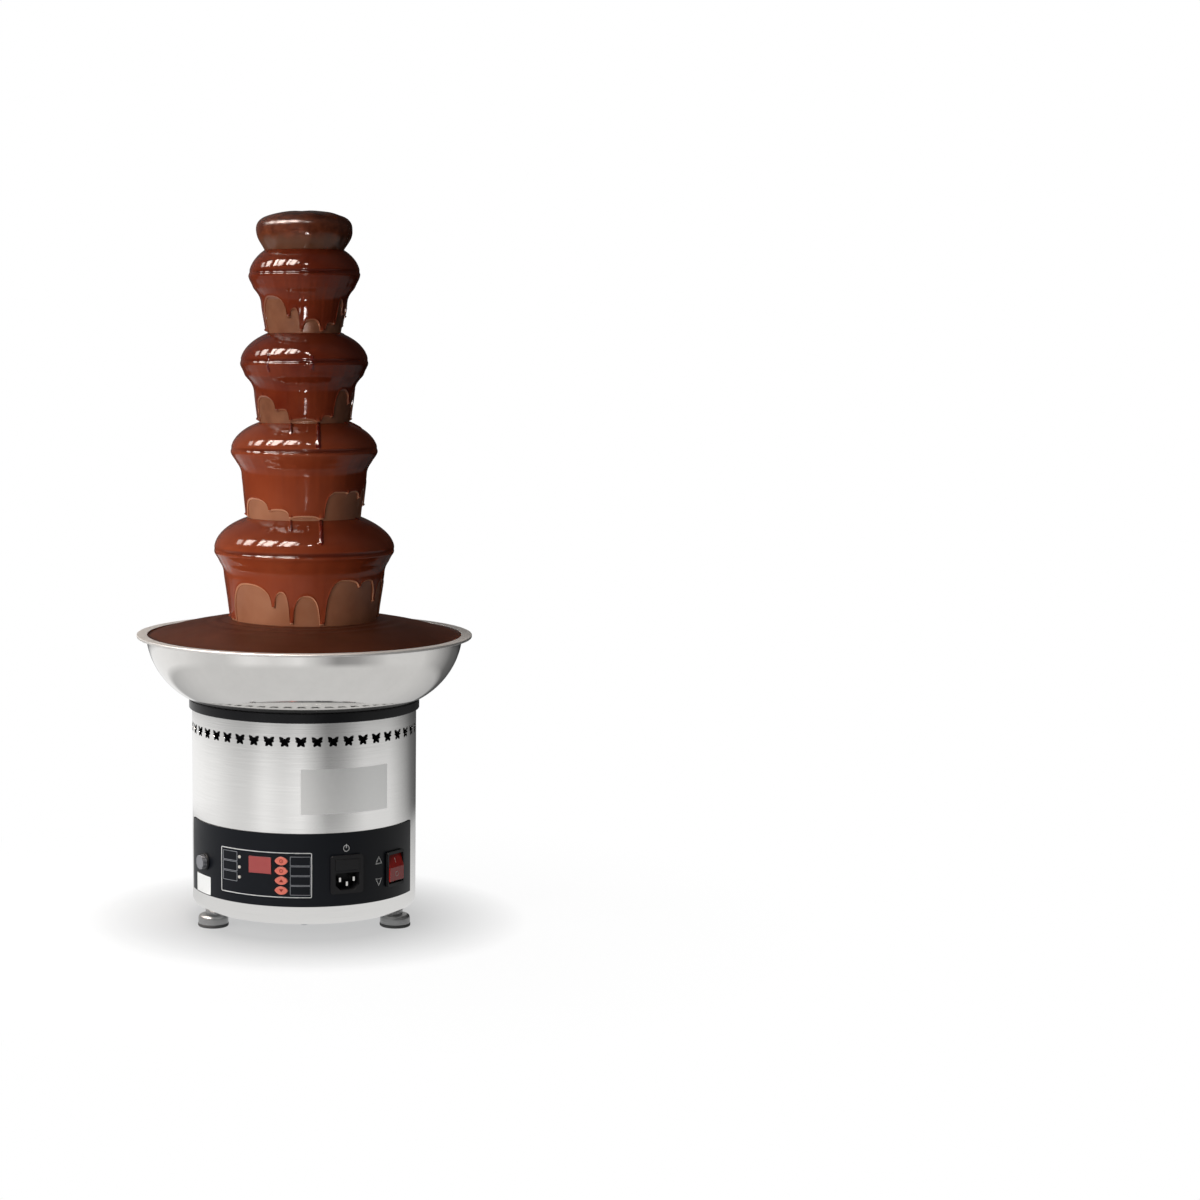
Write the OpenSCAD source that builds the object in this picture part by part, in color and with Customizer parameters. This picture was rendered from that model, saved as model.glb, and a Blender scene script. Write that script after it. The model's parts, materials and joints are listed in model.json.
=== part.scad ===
// Five-tier chocolate fountain: a heated bowl on a round motor base, a lift-off
// tower of domed dishes round a screw conveyor, and the chocolate that runs over them.
// Z is up, the table is z = 0, the tower's axis is the Z axis and the controls face -Y.

/* [Base] */
// Outer radius of the steel base
base_r = 110; // [108:0.5:112]
// Sheet thickness of the base shell
base_wall = 1.2; // [0.8:0.1:1.6]
// Height of the base shell
base_h = 193.5; // [176:0.5:230]
// Outside radius of the shell's bottom corner
base_corner = 6; // [4:0.5:7]
// Width of the shell's turned-in bottom flange
bottom_flange_w = 24; // [20:1:30]
// Width of the shell's turned-in top flange
top_flange_w = 18; // [16:0.5:20]
// Thickness of the bottom plate
bottom_plate_t = 1.5; // [1:0.1:3]
// Number of cooling slots in the bottom plate
slot_count = 12; // [6:1:18]
// Length of a cooling slot
slot_l = 26; // [14:1:30]

/* [Vents] */
// Number of butterfly vents round the base
vent_count = 45; // [24:1:46]
// Wing span of one butterfly vent
vent_w = 10.8; // [8:0.2:12.5]
// Distance of the vents below the top of the base
vent_drop = 18; // [12:0.5:30]

/* [Feet] */
// Distance of the feet's centres in from the edge of the base
foot_set_in = 13; // [12:0.5:18]
// Radius of a foot's rubber pad
foot_r = 15; // [12:0.5:18]
// Thickness of the rubber pad
foot_pad_h = 3; // [2:0.5:5]
// Height of the foot's steel cup
foot_cup_h = 9; // [6:0.5:12]
// Height of the hexagon under the base
foot_hex_h = 5; // [4:0.5:10]
// Radius of the threaded stem
stem_r = 4; // [3:0.5:4.5]
// How far a foot can be screwed out
foot_travel = 8; // [4:1:12]

/* [Bowl] */
// Radius of the bowl's flat floor
bowl_floor_r = 80; // [78:0.5:84]
// Outside radius of the curved wall
bowl_curve_r = 75; // [72:0.5:80]
// Height of the bowl, from its underside to the top of its rim
bowl_h = 70; // [60:0.5:71]
// Sheet thickness of the bowl
bowl_wall = 1.2; // [0.8:0.1:2]
// Width of the bowl's flat rim
bowl_rim_w = 9.2; // [6:0.2:16]
// Depth of the rim's turned-down edge
bowl_lip = 2.4; // [2:0.2:6]
// How far the black seat ring stands out past the base
ring_proud = 3; // [2:0.5:6]
// Height of the bowl's underside above the base
bowl_seat = 2; // [2:0.5:7]

/* [Tower] */
// Outer radius of the conveyor tube
tube_r = 26; // [25.5:0.5:27]
// Wall of the conveyor tube
tube_wall = 1.5; // [1:0.1:2]
// Outer radius of the tube's foot flange
flange_r = 44; // [43:0.5:46]
// Thickness of the tube's foot flange
flange_t = 2; // [1.5:0.5:4]
// Height of the chocolate inlets at the foot of the tube
port_h = 24; // [12:1:40]
// Width of each chocolate inlet
port_w = 22; // [12:1:28]
// Radius of the locating pins
pin_r = 3; // [2:0.5:4]
// Radius of the circle that the locating pins stand on
pin_circle_r = 37; // [34:0.5:38]
// Height of the locating pins
pin_h = 9; // [6:1:14]

/* [Tiers, from the lowest up] */
// Radius of the chocolate over each dish's rim
tier_rim_r = [88, 71.4, 62, 53.8]; // [50:0.1:100]
// Height of each chocolate dome above its rim
tier_rise = [40, 35.2, 35, 34.9]; // [30:0.1:45]
// Height of each rim above the rim below it, or above the pool
tier_step = [68.5, 95.5, 85, 83.5]; // [60:0.5:110]
// Radius of each curtain at its waist
tier_waist_r = [77.3, 59.8, 47.4, 40.4]; // [38:0.1:84]
// Height of each waist below its rim
tier_waist_drop = [25, 24, 31, 29]; // [18:0.5:36]
// Radius where each curtain lands
tier_land_r = [71, 55.4, 43.8, 35.6]; // [34.5:0.1:76]

/* [Crown] */
// Radius of the chocolate over the top cup's rim
crown_r = 46.5; // [45:0.5:50]
// Height of the cup's rim above the top tier's rim
crown_step = 43.5; // [42:0.5:60]
// Height of the crown above the cup's rim
crown_rise = 18; // [10:0.5:26]
// Radius where the crown's curtain lands
crown_land_r = 38.4; // [37:0.2:41]

/* [Chocolate] */
// Thickness of the running chocolate
film = 2.4; // [1.6:0.1:3]
// Height of the pool's mound above the bowl's rim
mound_h = 14.5; // [6:0.5:20]
// Depth of the pool's edge below the bowl's rim
pool_drop = 1.8; // [1.4:0.2:8]

/* [Screw conveyor] */
// Radius of the screw's shaft
auger_r = 8; // [7:0.5:10]
// Pitch of the screw
auger_pitch = 40; // [30:1:60]
// Thickness of the screw's flight along the axis
flight_t = 2.5; // [1.5:0.1:4]
// Radius of the drive shaft
drive_r = 6; // [5:0.5:6.5]

/* [Gear train] */
// Module of the motor pinion and the idler wheel
fast_module = 0.8; // [0.7:0.05:0.9]
// Module of the idler pinion and the output gear
slow_module = 1; // [0.9:0.05:1.1]
// Teeth of both pinions
pinion_teeth = 18; // [18:1:20]
// Teeth of the idler wheel
wheel_teeth = 72; // [60:1:76]
// Teeth of the output gear
output_teeth = 63; // [56:1:66]
// Face width of the motor pinion and the idler wheel
fast_face = 8; // [6:0.5:10]
// Face width of the idler pinion and the output gear
slow_face = 12; // [8:0.5:14]
// Radius of the motor
motor_r = 30; // [24:1:34]
// Height of the motor
motor_h = 56; // [40:1:64]

/* [Heater] */
// Outer radius of the heater plate
heater_r = 76; // [72:1:78]
// Thickness of the heater plate
heater_t = 6; // [5.5:0.5:8]
// Radius of the ring that the heating element follows
element_ring_r = 58; // [54:1:64]
// Radius of the heating element
element_r = 4; // [3:0.5:4.5]

/* [Control panel] */
// Angle of the panel's left end from the front
panel_from = -76; // [-84:1:-74]
// Angle of the panel's right end from the front
panel_to = 68; // [66:1:80]
// Height of the panel
panel_h = 70; // [64:1:78]
// Height of the panel's lower edge above the underside of the base
panel_up = 18; // [10:0.5:24]
// Thickness of the panel
panel_t = 1.1; // [0.8:0.1:1.6]
// Width of a key
key_w = 12.8; // [10:0.2:13.4]
// Height of a key
key_h = 8; // [6:0.1:8.2]
// Spacing of the keys
key_pitch = 9.4; // [9.3:0.1:10]
// Travel of a key
key_travel = 0.8; // [0.3:0.1:1]
// Width of the display window
display_w = 23; // [20:0.2:25]
// Height of the display window
display_h = 15.8; // [12:0.2:18]
// Width of the mains inlet's bezel
mains_w = 32.5; // [31.5:0.5:34]
// Height of the mains inlet's bezel
mains_h = 36.5; // [36:0.5:40]
// Width of the switch's bezel
switch_w = 26; // [24:0.5:28]
// Height of the switch's bezel
switch_h = 34; // [32:0.5:36]
// Angle that the rocker turns through
rocker_swing = 20; // [12:1:22]
// Radius of the fuse holder's cap
fuse_cap_r = 7; // [7:0.5:9]
// Height of the fuse holder's cap
fuse_cap_h = 4.5; // [3.5:0.5:8]

/* [Hidden] */
$fn = 96;
curve_steps = 12;
through = 1;

// Clearances: running shafts, pieces that slip past each other, pieces that seat
run_clear = 0.05;
fixed_clear = 0.02;
slip_clear = 0.25;
seat_clear = 0.2;

// Base and feet
base_lift = foot_pad_h + foot_cup_h + foot_hex_h;
base_top = base_lift + base_h;
base_in = base_r - base_wall;
floor_z = base_lift + base_wall;
plate_top = floor_z + bottom_plate_t;
plate_r = base_r - base_corner;
foot_circle_r = base_r - foot_set_in;
boss_wall = 4;
boss_r = stem_r + boss_wall;
boss_h = 8;
stem_top = plate_top + boss_h + foot_travel;
hex_wall = 3.5;
foot_hex_r = stem_r + hex_wall;
cup_land = 0.8;
cup_top_r = foot_hex_r + cup_land;
cup_set_in = 0.4;
cup_shoulder = 4.5;
cup_round = [2, 1];
foot_angles = [-66, 66, 180];
screw_angles = [0, 120, 240];
screw_r = 2;
screw_edge = 8;
screw_circle_r = plate_r - screw_edge;
screw_head_r = 3.6;
screw_head_h = 2;
screw_l = 8;
slot_w = 4;
slot_circle_r = 62;
vent_turn = -0.2;
vent_pitch = 360 / vent_count;
// Angle, length and width of each leaf of a wing, the last two as shares of the span
vent_leaves = [[42, 0.66, 0.36], [8, 0.5, 0.26], [-52, 0.52, 0.32]];
vent_body = [0.1, 0.6];

// Bowl, ring, pan and heater
bowl_z = base_top + bowl_seat;
bowl_floor = bowl_z + bowl_wall;
bowl_top = bowl_z + bowl_h;
bowl_centre = [bowl_floor_r, bowl_z + bowl_curve_r];
bowl_edge_angle = asin((bowl_h - bowl_wall - bowl_curve_r) / bowl_curve_r);
bowl_mouth_angle = asin((bowl_h - bowl_curve_r) / (bowl_curve_r - bowl_wall));
bowl_rim_r = bowl_floor_r + bowl_curve_r * cos(bowl_edge_angle) + bowl_rim_w;
ring_r = base_r + ring_proud;
ring_lip = 0.8;
ring_land = 3;
ring_in = base_r - top_flange_w + ring_land;
pan_t = 1.5;
pan_depth = 27;
pan_top = base_top - base_wall;
pan_floor = pan_top - pan_depth;
pan_under = pan_floor - pan_t;
pan_rim_gap = 2.5;
pan_rim_r = base_in - pan_rim_gap;
pan_wall_gap = 1;
pan_wall_r = base_r - top_flange_w - pan_wall_gap;
heater_under = bowl_z - heater_t;
cutout_r = 8;
cutout_h = 7;
cutout_x = 38;

// Seal housing through the middle of the bowl
seal_wall = 6;
seal_body_r = drive_r + seal_wall;
seal_flange_gap = 3;
seal_flange_r = tube_r - tube_wall - seal_flange_gap;
seal_flange_h = 5;
seal_floor = 1;
seal_lip = 4;
seal_r = drive_r + seal_lip;
seal_nut_h = 8;
seal_nut_wall = 6.5;
seal_nut_r = seal_body_r + seal_nut_wall;
seal_tail = 3;
heater_gap = 8;
heater_in = seal_body_r + heater_gap;

// Gear train, from the pan downwards
gear_gap = 1.5;
gear_plate_t = 3;
pillar_r = 4;
pillar_h = 20.5;
upper_plate_z = pan_under - pillar_h - gear_plate_t;
slow_z = upper_plate_z - 2 * gear_gap - slow_face;
fast_z = slow_z - gear_gap - fast_face;
lower_plate_z = fast_z - gear_gap - gear_plate_t;
slow_centres = slow_module * (pinion_teeth + output_teeth) / 2;
fast_centres = fast_module * (pinion_teeth + wheel_teeth) / 2;
idler_angle = 150;
motor_angle = 15;
idler_xy = slow_centres * [cos(idler_angle), sin(idler_angle)];
motor_xy = idler_xy + fast_centres * [cos(motor_angle), sin(motor_angle)];
backlash = 0.16;
pressure_angle = 20;
flank_steps = 3;
idler_pin_r = 3;
motor_shaft_r = 3;
motor_wall = 3;
rotor_gap = 9;
rotor_r = motor_r - rotor_gap;
dedendum = 1.25;
gear_plate_centre = [-14.5, 11];
gear_plate_size = [111, 104];
gear_plate_round = 8;
pillar_reach = gear_plate_size / 2 - [gear_plate_round, gear_plate_round];

// Tower heights, from the pool up
pool_z = bowl_top + mound_h;
pool_gap = 1;
pool_in = flange_r + pool_gap;
pool_shelf = 2.5;
pool_flat_r = tier_land_r[0] + pool_shelf;
pool_curve = 1.7;
port_sill = 2;
port_angles = [60, 180, 300];
pin_angles = [0, 120, 240];
tiers = len(tier_rim_r);
function tier_z(i) = (i == 0 ? pool_z : tier_z(i - 1)) + tier_step[i];
function land_z(i) = i == 0 ? pool_z : dome_z(i - 1, tier_land_r[i]);
function dome_z(i, r) = tier_z(i) + tier_rise[i] * sqrt(1 - (r / tier_rim_r[i]) ^ 2);
function neck_r(i) = i == tiers - 1 ? crown_land_r : tier_land_r[i + 1];
crown_z = tier_z(tiers - 1) + crown_step;
crown_power = 2.6;
// How the crown's curtain leaves the rim, and how it draws in
crown_fall = 7.5;
crown_tuck = [3.1, 13];
// The same for the tiers, as shares of the drop to the waist, and the waist's spread
curtain_fall = 0.5;
curtain_tuck = 0.4;
waist_spread = 0.1;
crown_land_z = dome_z(tiers - 1, crown_land_r);
crown_under = crown_z + seat_clear;
dish_inset = film + seat_clear;
dish_t = 1;
hub_wall = 4;
hub_h = 12;
hub_r = tube_r + hub_wall;
function hub_z(i) = tier_z(i) + (tier_rise[i] - dish_inset)
    * sqrt(1 - (hub_r / (tier_rim_r[i] - dish_inset)) ^ 2);
cup_collar_z = hub_z(tiers - 1) + seat_clear;
cup_collar_h = 8;
cup_t = 1.2;
tube_top = cup_collar_z + cup_collar_h;

// Screw conveyor
socket_gap = 0.8;
socket_z = bowl_floor + seal_flange_h + socket_gap;
socket_h = 22;
socket_wall = 6;
socket_r = drive_r + socket_wall;
hex_step = 0.8;
hex_r = drive_r - hex_step;
hex_h = 16;
flight_clear = 0.8;
flight_r = tube_r - tube_wall - flight_clear;
flight_in = auger_r + slip_clear;
flight_z = socket_z + socket_h;
flight_short = 4;
flight_h = tube_top - flight_short - flight_z;
flight_turn = 360 * flight_h / auger_pitch;
flight_sector = 360 * flight_t / auger_pitch;
slices_per_turn = 24;
flight_slices = ceil(slices_per_turn * flight_turn / 360);
auger_proud = 3;
auger_top = tube_top + auger_proud;

// Panel layout: angles from the front, heights, distances from the axis
panel_z = base_lift + panel_up;
panel_gap = 0.1;
panel_in = base_r + panel_gap;
panel_out = panel_in + panel_t;
cut_in = 30;
cut_out = 10;
cut_from = base_r - cut_in;
cut_to = base_r + cut_out;
hole_clear = 0.4;
board_angle = -21;
board_set_back = 14;
board_n = base_r - board_set_back;
board_t = 1.6;
board_front = board_n + board_t;
board_size = [86, 38];
board_up = 29.3;
board_z = panel_z + board_up;
window_margin = [4, 6];
window_size = board_size + window_margin;
post_r = 2;
post_edge = [5, 4];
post_reach = board_size / 2 - post_edge;
display_angle = -22.2;
display_up = 38.9;
display_z = panel_z + display_up;
lens_depth = 1.6;
lens_back = panel_in - lens_depth;
lens_room = 1;
display_side = base_r * sin(display_angle - board_angle);
display_margin = 2.4;
key_count = 4;
key_angle = -11.2;
key_up = 29.9;
key_z = panel_z + key_up;
key_proud = 0.9;
key_lip = 0.5;
key_lip_t = 1.4;
key_lip_gap = 0.7;
key_lip_front = panel_in - key_lip_gap;
key_stem_r = 2;
stem_room = 0.8;
function board_reach(angle, r) = board_front / cos(angle - board_angle)
    + r * tan(abs(angle - board_angle));
lamp_count = 3;
lamp_angle = -33.5;
lamp_up = 34.9;
lamp_z = panel_z + lamp_up;
lamp_pitch = 9.8;
lamp_r = 1.5;
lamp_proud = 0.6;
bezel_round = 2.5;
bezel_gap = 0.1;
bezel_back = panel_out + bezel_gap;
mains_angle = 21;
mains_up = 30.6;
mains_z = panel_z + mains_up;
mains_bezel = 2.9;
mains_front = bezel_back + mains_bezel;
mains_step = [4, 4];
mains_body = [mains_w, mains_h] - mains_step;
mains_depth = 27;
inlet_size = [24.2, 16.4];
inlet_depth = 15.5;
inlet_dz = -6.6;
inlet_chamfer = 5;
blade = [2, 4];
blade_side = 7;
blade_dz = 1.6;
earth_dz = -2.6;
blade_set_back = 1.5;
blade_tail = 6;
drawer_size = [24.2, 10.4];
drawer_dz = 9.2;
drawer_depth = 22;
drawer_proud = 0.6;
mains_fuse_r = 2.5;
mains_fuse_l = 17;
drawer_fuse_n = mains_front - drawer_depth / 2;
switch_angle = 51;
switch_up = 29;
switch_z = panel_z + switch_up;
switch_bezel = 2.3;
switch_front = bezel_back + switch_bezel;
switch_step = [2, 3];
switch_body = [switch_w, switch_h] - switch_step;
switch_depth = 24;
switch_floor = 5;
rocker_border = 4;
rocker_w = switch_w - rocker_border;
rocker_half = switch_h / 2 - rocker_border;
rocker_set_back = 7;
rocker_pivot = switch_front - rocker_set_back;
rocker_ridge = 8.2;
rocker_edge = rocker_ridge - rocker_half * tan(rocker_swing / 2);
rocker_room = rocker_half * cos(rocker_swing / 2) + rocker_edge * sin(rocker_swing / 2)
    + slip_clear;
rocker_pin_r = 1.5;
rocker_heel = 3.5;
rocker_bevel = 1;
rocker_pin_reach = 0.9;
rocker_pin_l = rocker_w / 2 + rocker_pin_reach;
fuse_angle = -59;
fuse_up = 32.3;
fuse_z = panel_z + fuse_up;
fuse_step = 1.6;
fuse_body_r = fuse_cap_r - fuse_step;
fuse_land = 1.2;
fuse_flange_r = fuse_cap_r + fuse_land;
fuse_flange_t = 1.8;
fuse_depth = 30;
fuse_bore_r = 4;
fuse_bore_l = 22;
fuse_plug_l = 14;
grip_count = 10;
grip_r = 1;

steel = [0.78, 0.78, 0.77];
bright = [0.86, 0.86, 0.87];
black = [0.07, 0.07, 0.08];
chocolate = [0.42, 0.17, 0.08];
dark_chocolate = [0.26, 0.11, 0.07];
red = [0.75, 0.08, 0.06];
coral = [0.84, 0.36, 0.3];
rubber = [0.12, 0.12, 0.12];
brass = [0.78, 0.62, 0.3];
green = [0.1, 0.35, 0.18];
clear_red = [0.45, 0.08, 0.08];
white = [0.9, 0.9, 0.88];

// Curves and placing

function arc(centre, r, from, to, n) = [for (i = [0:n]) let (a = from + (to - from) * i / n)
    centre + r * [cos(a), sin(a)]];
function bezier(a, b, c, d, n) = [for (i = [0:n]) let (t = i / n)
    a * (1 - t) ^ 3 + b * 3 * t * (1 - t) ^ 2 + c * 3 * t ^ 2 * (1 - t) + d * t ^ 3];
function ellipse_arc(z, r, rise, from, to, n) = [for (i = [0:n])
    let (a = from + (to - from) * i / n) [r * sin(a), z + rise * cos(a)]];
function reversed(points) = [for (i = [len(points) - 1:-1:0]) points[i]];
function moved_in(points, by) = [for (p = points) p - [by, 0]];

// Local -Y points straight out of the base at this angle from the front
module on_wall(angle, z) {
    rotate([0, 0, angle]) translate([0, 0, z]) children();
}

// Extrudes an outline of X and Z outwards between two distances from the axis
module outward(from, to) {
    rotate([90, 0, 0]) translate([0, 0, from]) linear_extrude(to - from) children();
}

module tube(z, h, r_out, r_in) {
    translate([0, 0, z]) difference() {
        cylinder(r = r_out, h = h);
        translate([0, 0, -through]) cylinder(r = r_in, h = h + 2 * through);
    }
}

module hole(z, h, r) {
    translate([0, 0, z - through]) cylinder(r = r, h = h + 2 * through);
}

module rounded_rect(size, r) {
    square(size - [2 * r, 0], center = true);
    square(size - [0, 2 * r], center = true);
    for (sx = [-1, 1], sy = [-1, 1])
        translate([sx * (size[0] / 2 - r), sy * (size[1] / 2 - r)]) circle(r);
}

// A pointed leaf along +X from the origin, made of two arcs
module leaf(length, width) {
    r = (length ^ 2 + width ^ 2) / (4 * width);
    intersection() {
        translate([length / 2, r - width / 2]) circle(r);
        translate([length / 2, width / 2 - r]) circle(r);
    }
}

// Base

module butterfly(w) {
    for (side = [0, 1]) mirror([side, 0]) {
        for (wing = vent_leaves) rotate(wing[0]) leaf(wing[1] * w, wing[2] * w);
    }
    square(vent_body * w, center = true);
}

module shell_profile() {
    corner = [base_r - base_corner, base_lift + base_corner];
    polygon(concat(
        [[base_r - top_flange_w, base_top], [base_r, base_top]],
        arc(corner, base_corner, 0, -90, curve_steps),
        [[base_r - bottom_flange_w, base_lift], [base_r - bottom_flange_w, floor_z]],
        arc(corner, base_corner - base_wall, -90, 0, curve_steps),
        [[base_in, pan_top], [base_r - top_flange_w, pan_top]]));
}

// The cut-outs that the shell and the panel share
module control_cutouts() {
    on_wall(mains_angle, mains_z) outward(cut_from, cut_to)
        square(mains_body + 2 * [hole_clear, hole_clear], center = true);
    on_wall(switch_angle, switch_z) outward(cut_from, cut_to)
        square(switch_body + 2 * [hole_clear, hole_clear], center = true);
    on_wall(fuse_angle, fuse_z) outward(cut_from, cut_to) circle(fuse_body_r + hole_clear);
}

module at_feet() {
    for (a = foot_angles) rotate([0, 0, a]) translate([0, -foot_circle_r, 0]) children();
}

module at_screws() {
    for (a = screw_angles) rotate([0, 0, a]) translate([0, -screw_circle_r, 0]) children();
}

module base_shell() {
    color(steel) difference() {
        rotate_extrude() shell_profile();
        for (i = [0:vent_count - 1])
            on_wall(vent_pitch * (i + vent_turn), base_top - vent_drop)
                outward(cut_from, cut_to) butterfly(vent_w);
        control_cutouts();
        on_wall(board_angle, board_z) outward(cut_from, cut_to) square(window_size, center = true);
        at_feet() hole(base_lift, base_wall, stem_r + run_clear);
        at_screws() hole(base_lift, base_wall, screw_r + run_clear);
    }
}

module bottom_plate() {
    boss_z = floor_z + bottom_plate_t / 2;
    color(steel) difference() {
        union() {
            translate([0, 0, floor_z]) cylinder(r = plate_r, h = bottom_plate_t);
            at_feet() translate([0, 0, boss_z]) cylinder(r = boss_r, h = plate_top + boss_h - boss_z);
        }
        at_feet() hole(floor_z, bottom_plate_t + boss_h, stem_r + run_clear);
        at_screws() hole(floor_z, bottom_plate_t, screw_r + run_clear);
        for (i = [0:slot_count - 1]) on_wall(360 * i / slot_count, floor_z - through)
            translate([0, -slot_circle_r, 0]) linear_extrude(bottom_plate_t + 2 * through) {
                square([slot_w, slot_l - slot_w], center = true);
                for (end = [-1, 1]) translate([0, end * (slot_l - slot_w) / 2]) circle(slot_w / 2);
            }
    }
}

module bottom_screws() {
    color(bright) at_screws() {
        translate([0, 0, base_lift - screw_head_h]) cylinder(r = screw_head_r, h = screw_head_h);
        translate([0, 0, base_lift - screw_head_h]) cylinder(r = screw_r, h = screw_head_h + screw_l);
    }
}

module foot(angle) {
    side = foot_r - cup_set_in;
    shoulder = foot_pad_h + cup_shoulder;
    top = foot_pad_h + foot_cup_h;
    color(bright) rotate([0, 0, angle]) translate([0, -foot_circle_r, 0]) {
        rotate_extrude() polygon(concat(
            [[0, top], [0, foot_pad_h], [side, foot_pad_h]],
            bezier([side, shoulder], [side, top - cup_round[1]], [side - cup_round[0], top],
                [cup_top_r, top], curve_steps)));
        translate([0, 0, top]) cylinder(r = foot_hex_r, h = foot_hex_h, $fn = 6);
        translate([0, 0, top]) cylinder(r = stem_r, h = stem_top - top);
    }
}

module foot_pad(angle) {
    chamfer = 0.8;
    color(rubber) rotate([0, 0, angle]) translate([0, -foot_circle_r, 0])
        rotate_extrude() polygon([[0, 0], [foot_r - chamfer, 0], [foot_r, chamfer],
            [foot_r, foot_pad_h], [0, foot_pad_h]]);
}

module deck_pan() {
    neck = seal_body_r + seat_clear;
    color(steel) rotate_extrude() polygon([
        [pan_rim_r, pan_top - pan_t], [pan_rim_r, pan_top], [pan_wall_r - pan_t, pan_top],
        [pan_wall_r - pan_t, pan_floor], [neck, pan_floor], [neck, pan_under],
        [pan_wall_r, pan_under], [pan_wall_r, pan_top - pan_t]]);
}

// Bowl

module bowl_ring() {
    seat_r = bowl_curve_r + seat_clear;
    lip_angle = -acos((ring_r - ring_lip - bowl_floor_r) / seat_r);
    foot_angle = -acos((ring_in - bowl_floor_r) / seat_r);
    seat = arc(bowl_centre, seat_r, lip_angle, foot_angle, curve_steps);
    color(black) rotate_extrude() polygon(concat(
        [[ring_in, base_top], [ring_r, base_top], [ring_r, seat[0][1]]], seat));
}

module bowl() {
    neck = seal_body_r + seat_clear;
    color(bright) rotate_extrude() polygon(concat(
        [[neck, bowl_floor], [neck, bowl_z]],
        arc(bowl_centre, bowl_curve_r, -90, bowl_edge_angle, 2 * curve_steps),
        [[bowl_rim_r - bowl_wall, bowl_top - bowl_wall], [bowl_rim_r - bowl_wall, bowl_top - bowl_lip],
         [bowl_rim_r, bowl_top - bowl_lip], [bowl_rim_r, bowl_top]],
        arc(bowl_centre, bowl_curve_r - bowl_wall, bowl_mouth_angle, -90, 2 * curve_steps)));
}

module at_pins() {
    for (a = pin_angles) rotate([0, 0, a]) translate([0, -pin_circle_r, 0]) children();
}

module locating_pins() {
    color(bright) at_pins() translate([0, 0, bowl_floor]) cylinder(r = pin_r, h = pin_h);
}

module seal_housing() {
    tail_z = pan_under - seal_nut_h - seal_tail;
    top = bowl_floor + seal_flange_h;
    color(bright) difference() {
        union() {
            translate([0, 0, bowl_floor]) cylinder(r = seal_flange_r, h = seal_flange_h);
            translate([0, 0, tail_z]) cylinder(r = seal_body_r, h = bowl_floor + seal_floor - tail_z);
        }
        hole(tail_z, top - tail_z, drive_r + run_clear);
        translate([0, 0, bowl_floor + seal_floor]) cylinder(r = seal_r, h = seal_flange_h);
    }
}

module seal_nut() {
    color(brass) difference() {
        translate([0, 0, pan_under - seal_nut_h]) cylinder(r = seal_nut_r, h = seal_nut_h, $fn = 6);
        hole(pan_under - seal_nut_h, seal_nut_h, seal_body_r + run_clear);
    }
}

module shaft_seal() {
    color(rubber) tube(bowl_floor + seal_floor, seal_flange_h - seal_floor,
        seal_r - fixed_clear, drive_r + run_clear);
}

module heater_plate() {
    color(steel) difference() {
        tube(heater_under, heater_t, heater_r, heater_in);
        rotate_extrude() translate([element_ring_r, heater_under]) circle(element_r + seat_clear);
    }
}

module heater_element() {
    color(brass) rotate_extrude() translate([element_ring_r, heater_under]) circle(element_r);
}

module thermal_cutout() {
    color(black) translate([cutout_x, 0, heater_under - cutout_h]) cylinder(r = cutout_r, h = cutout_h);
}

module chocolate_pool() {
    wall_r = bowl_curve_r - bowl_wall - seat_clear;
    edge_z = bowl_top - pool_drop;
    wall = arc(bowl_centre, wall_r, -90, asin((edge_z - bowl_centre[1]) / wall_r), 2 * curve_steps);
    edge_r = wall[len(wall) - 1][0];
    mound = [for (i = [curve_steps - 1:-1:0]) let (t = i / curve_steps)
        [pool_flat_r + (edge_r - pool_flat_r) * t, pool_z - (pool_z - edge_z) * t ^ pool_curve]];
    color(dark_chocolate) rotate_extrude() polygon(concat(
        [[pool_in, pool_z], [pool_in, bowl_floor + seat_clear]], wall, mound));
}

// Drive

function roll_angle(r, base) = let (a = acos(base / r)) tan(a) * 180 / PI - a;
function tooth_half(r, m, teeth) = let (pitch_r = m * teeth / 2)
    let (base = pitch_r * cos(pressure_angle))
    90 / teeth - backlash / (4 * pitch_r) * 180 / PI + roll_angle(pitch_r, base) - roll_angle(r, base);
function flank(m, teeth) = let (pitch_r = m * teeth / 2)
    let (start = max(pitch_r * cos(pressure_angle), pitch_r - dedendum * m))
    [for (i = [0:flank_steps]) let (r = start + (pitch_r + m - start) * i / flank_steps)
        [r, tooth_half(r, m, teeth)]];
function tooth(m, teeth) = let (side = flank(m, teeth))
    let (root = m * teeth / 2 - dedendum * m)
    let (rise = root < side[0][0] - fixed_clear ? concat([[root, side[0][1]]], side) : side)
    concat([for (p = rise) [p[0], -p[1]]], reversed(rise));

// Tooth number one points along the given angle
module gear_outline(m, teeth, angle) {
    shape = tooth(m, teeth);
    polygon([for (i = [0:teeth - 1]) for (p = shape)
        let (a = angle + 360 * i / teeth + p[1]) p[0] * [cos(a), sin(a)]]);
}

module gear_plate(z) {
    difference() {
        translate([0, 0, z]) linear_extrude(gear_plate_t) translate(gear_plate_centre)
            rounded_rect(gear_plate_size, gear_plate_round);
        hole(z, gear_plate_t, drive_r + run_clear);
        translate(idler_xy) hole(z, gear_plate_t, idler_pin_r + fixed_clear);
    }
}

module gear_plate_upper() {
    color(steel) gear_plate(upper_plate_z);
}

module gear_plate_lower() {
    color(steel) difference() {
        gear_plate(lower_plate_z);
        translate(motor_xy) hole(lower_plate_z, gear_plate_t, motor_shaft_r + slip_clear);
    }
}

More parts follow.
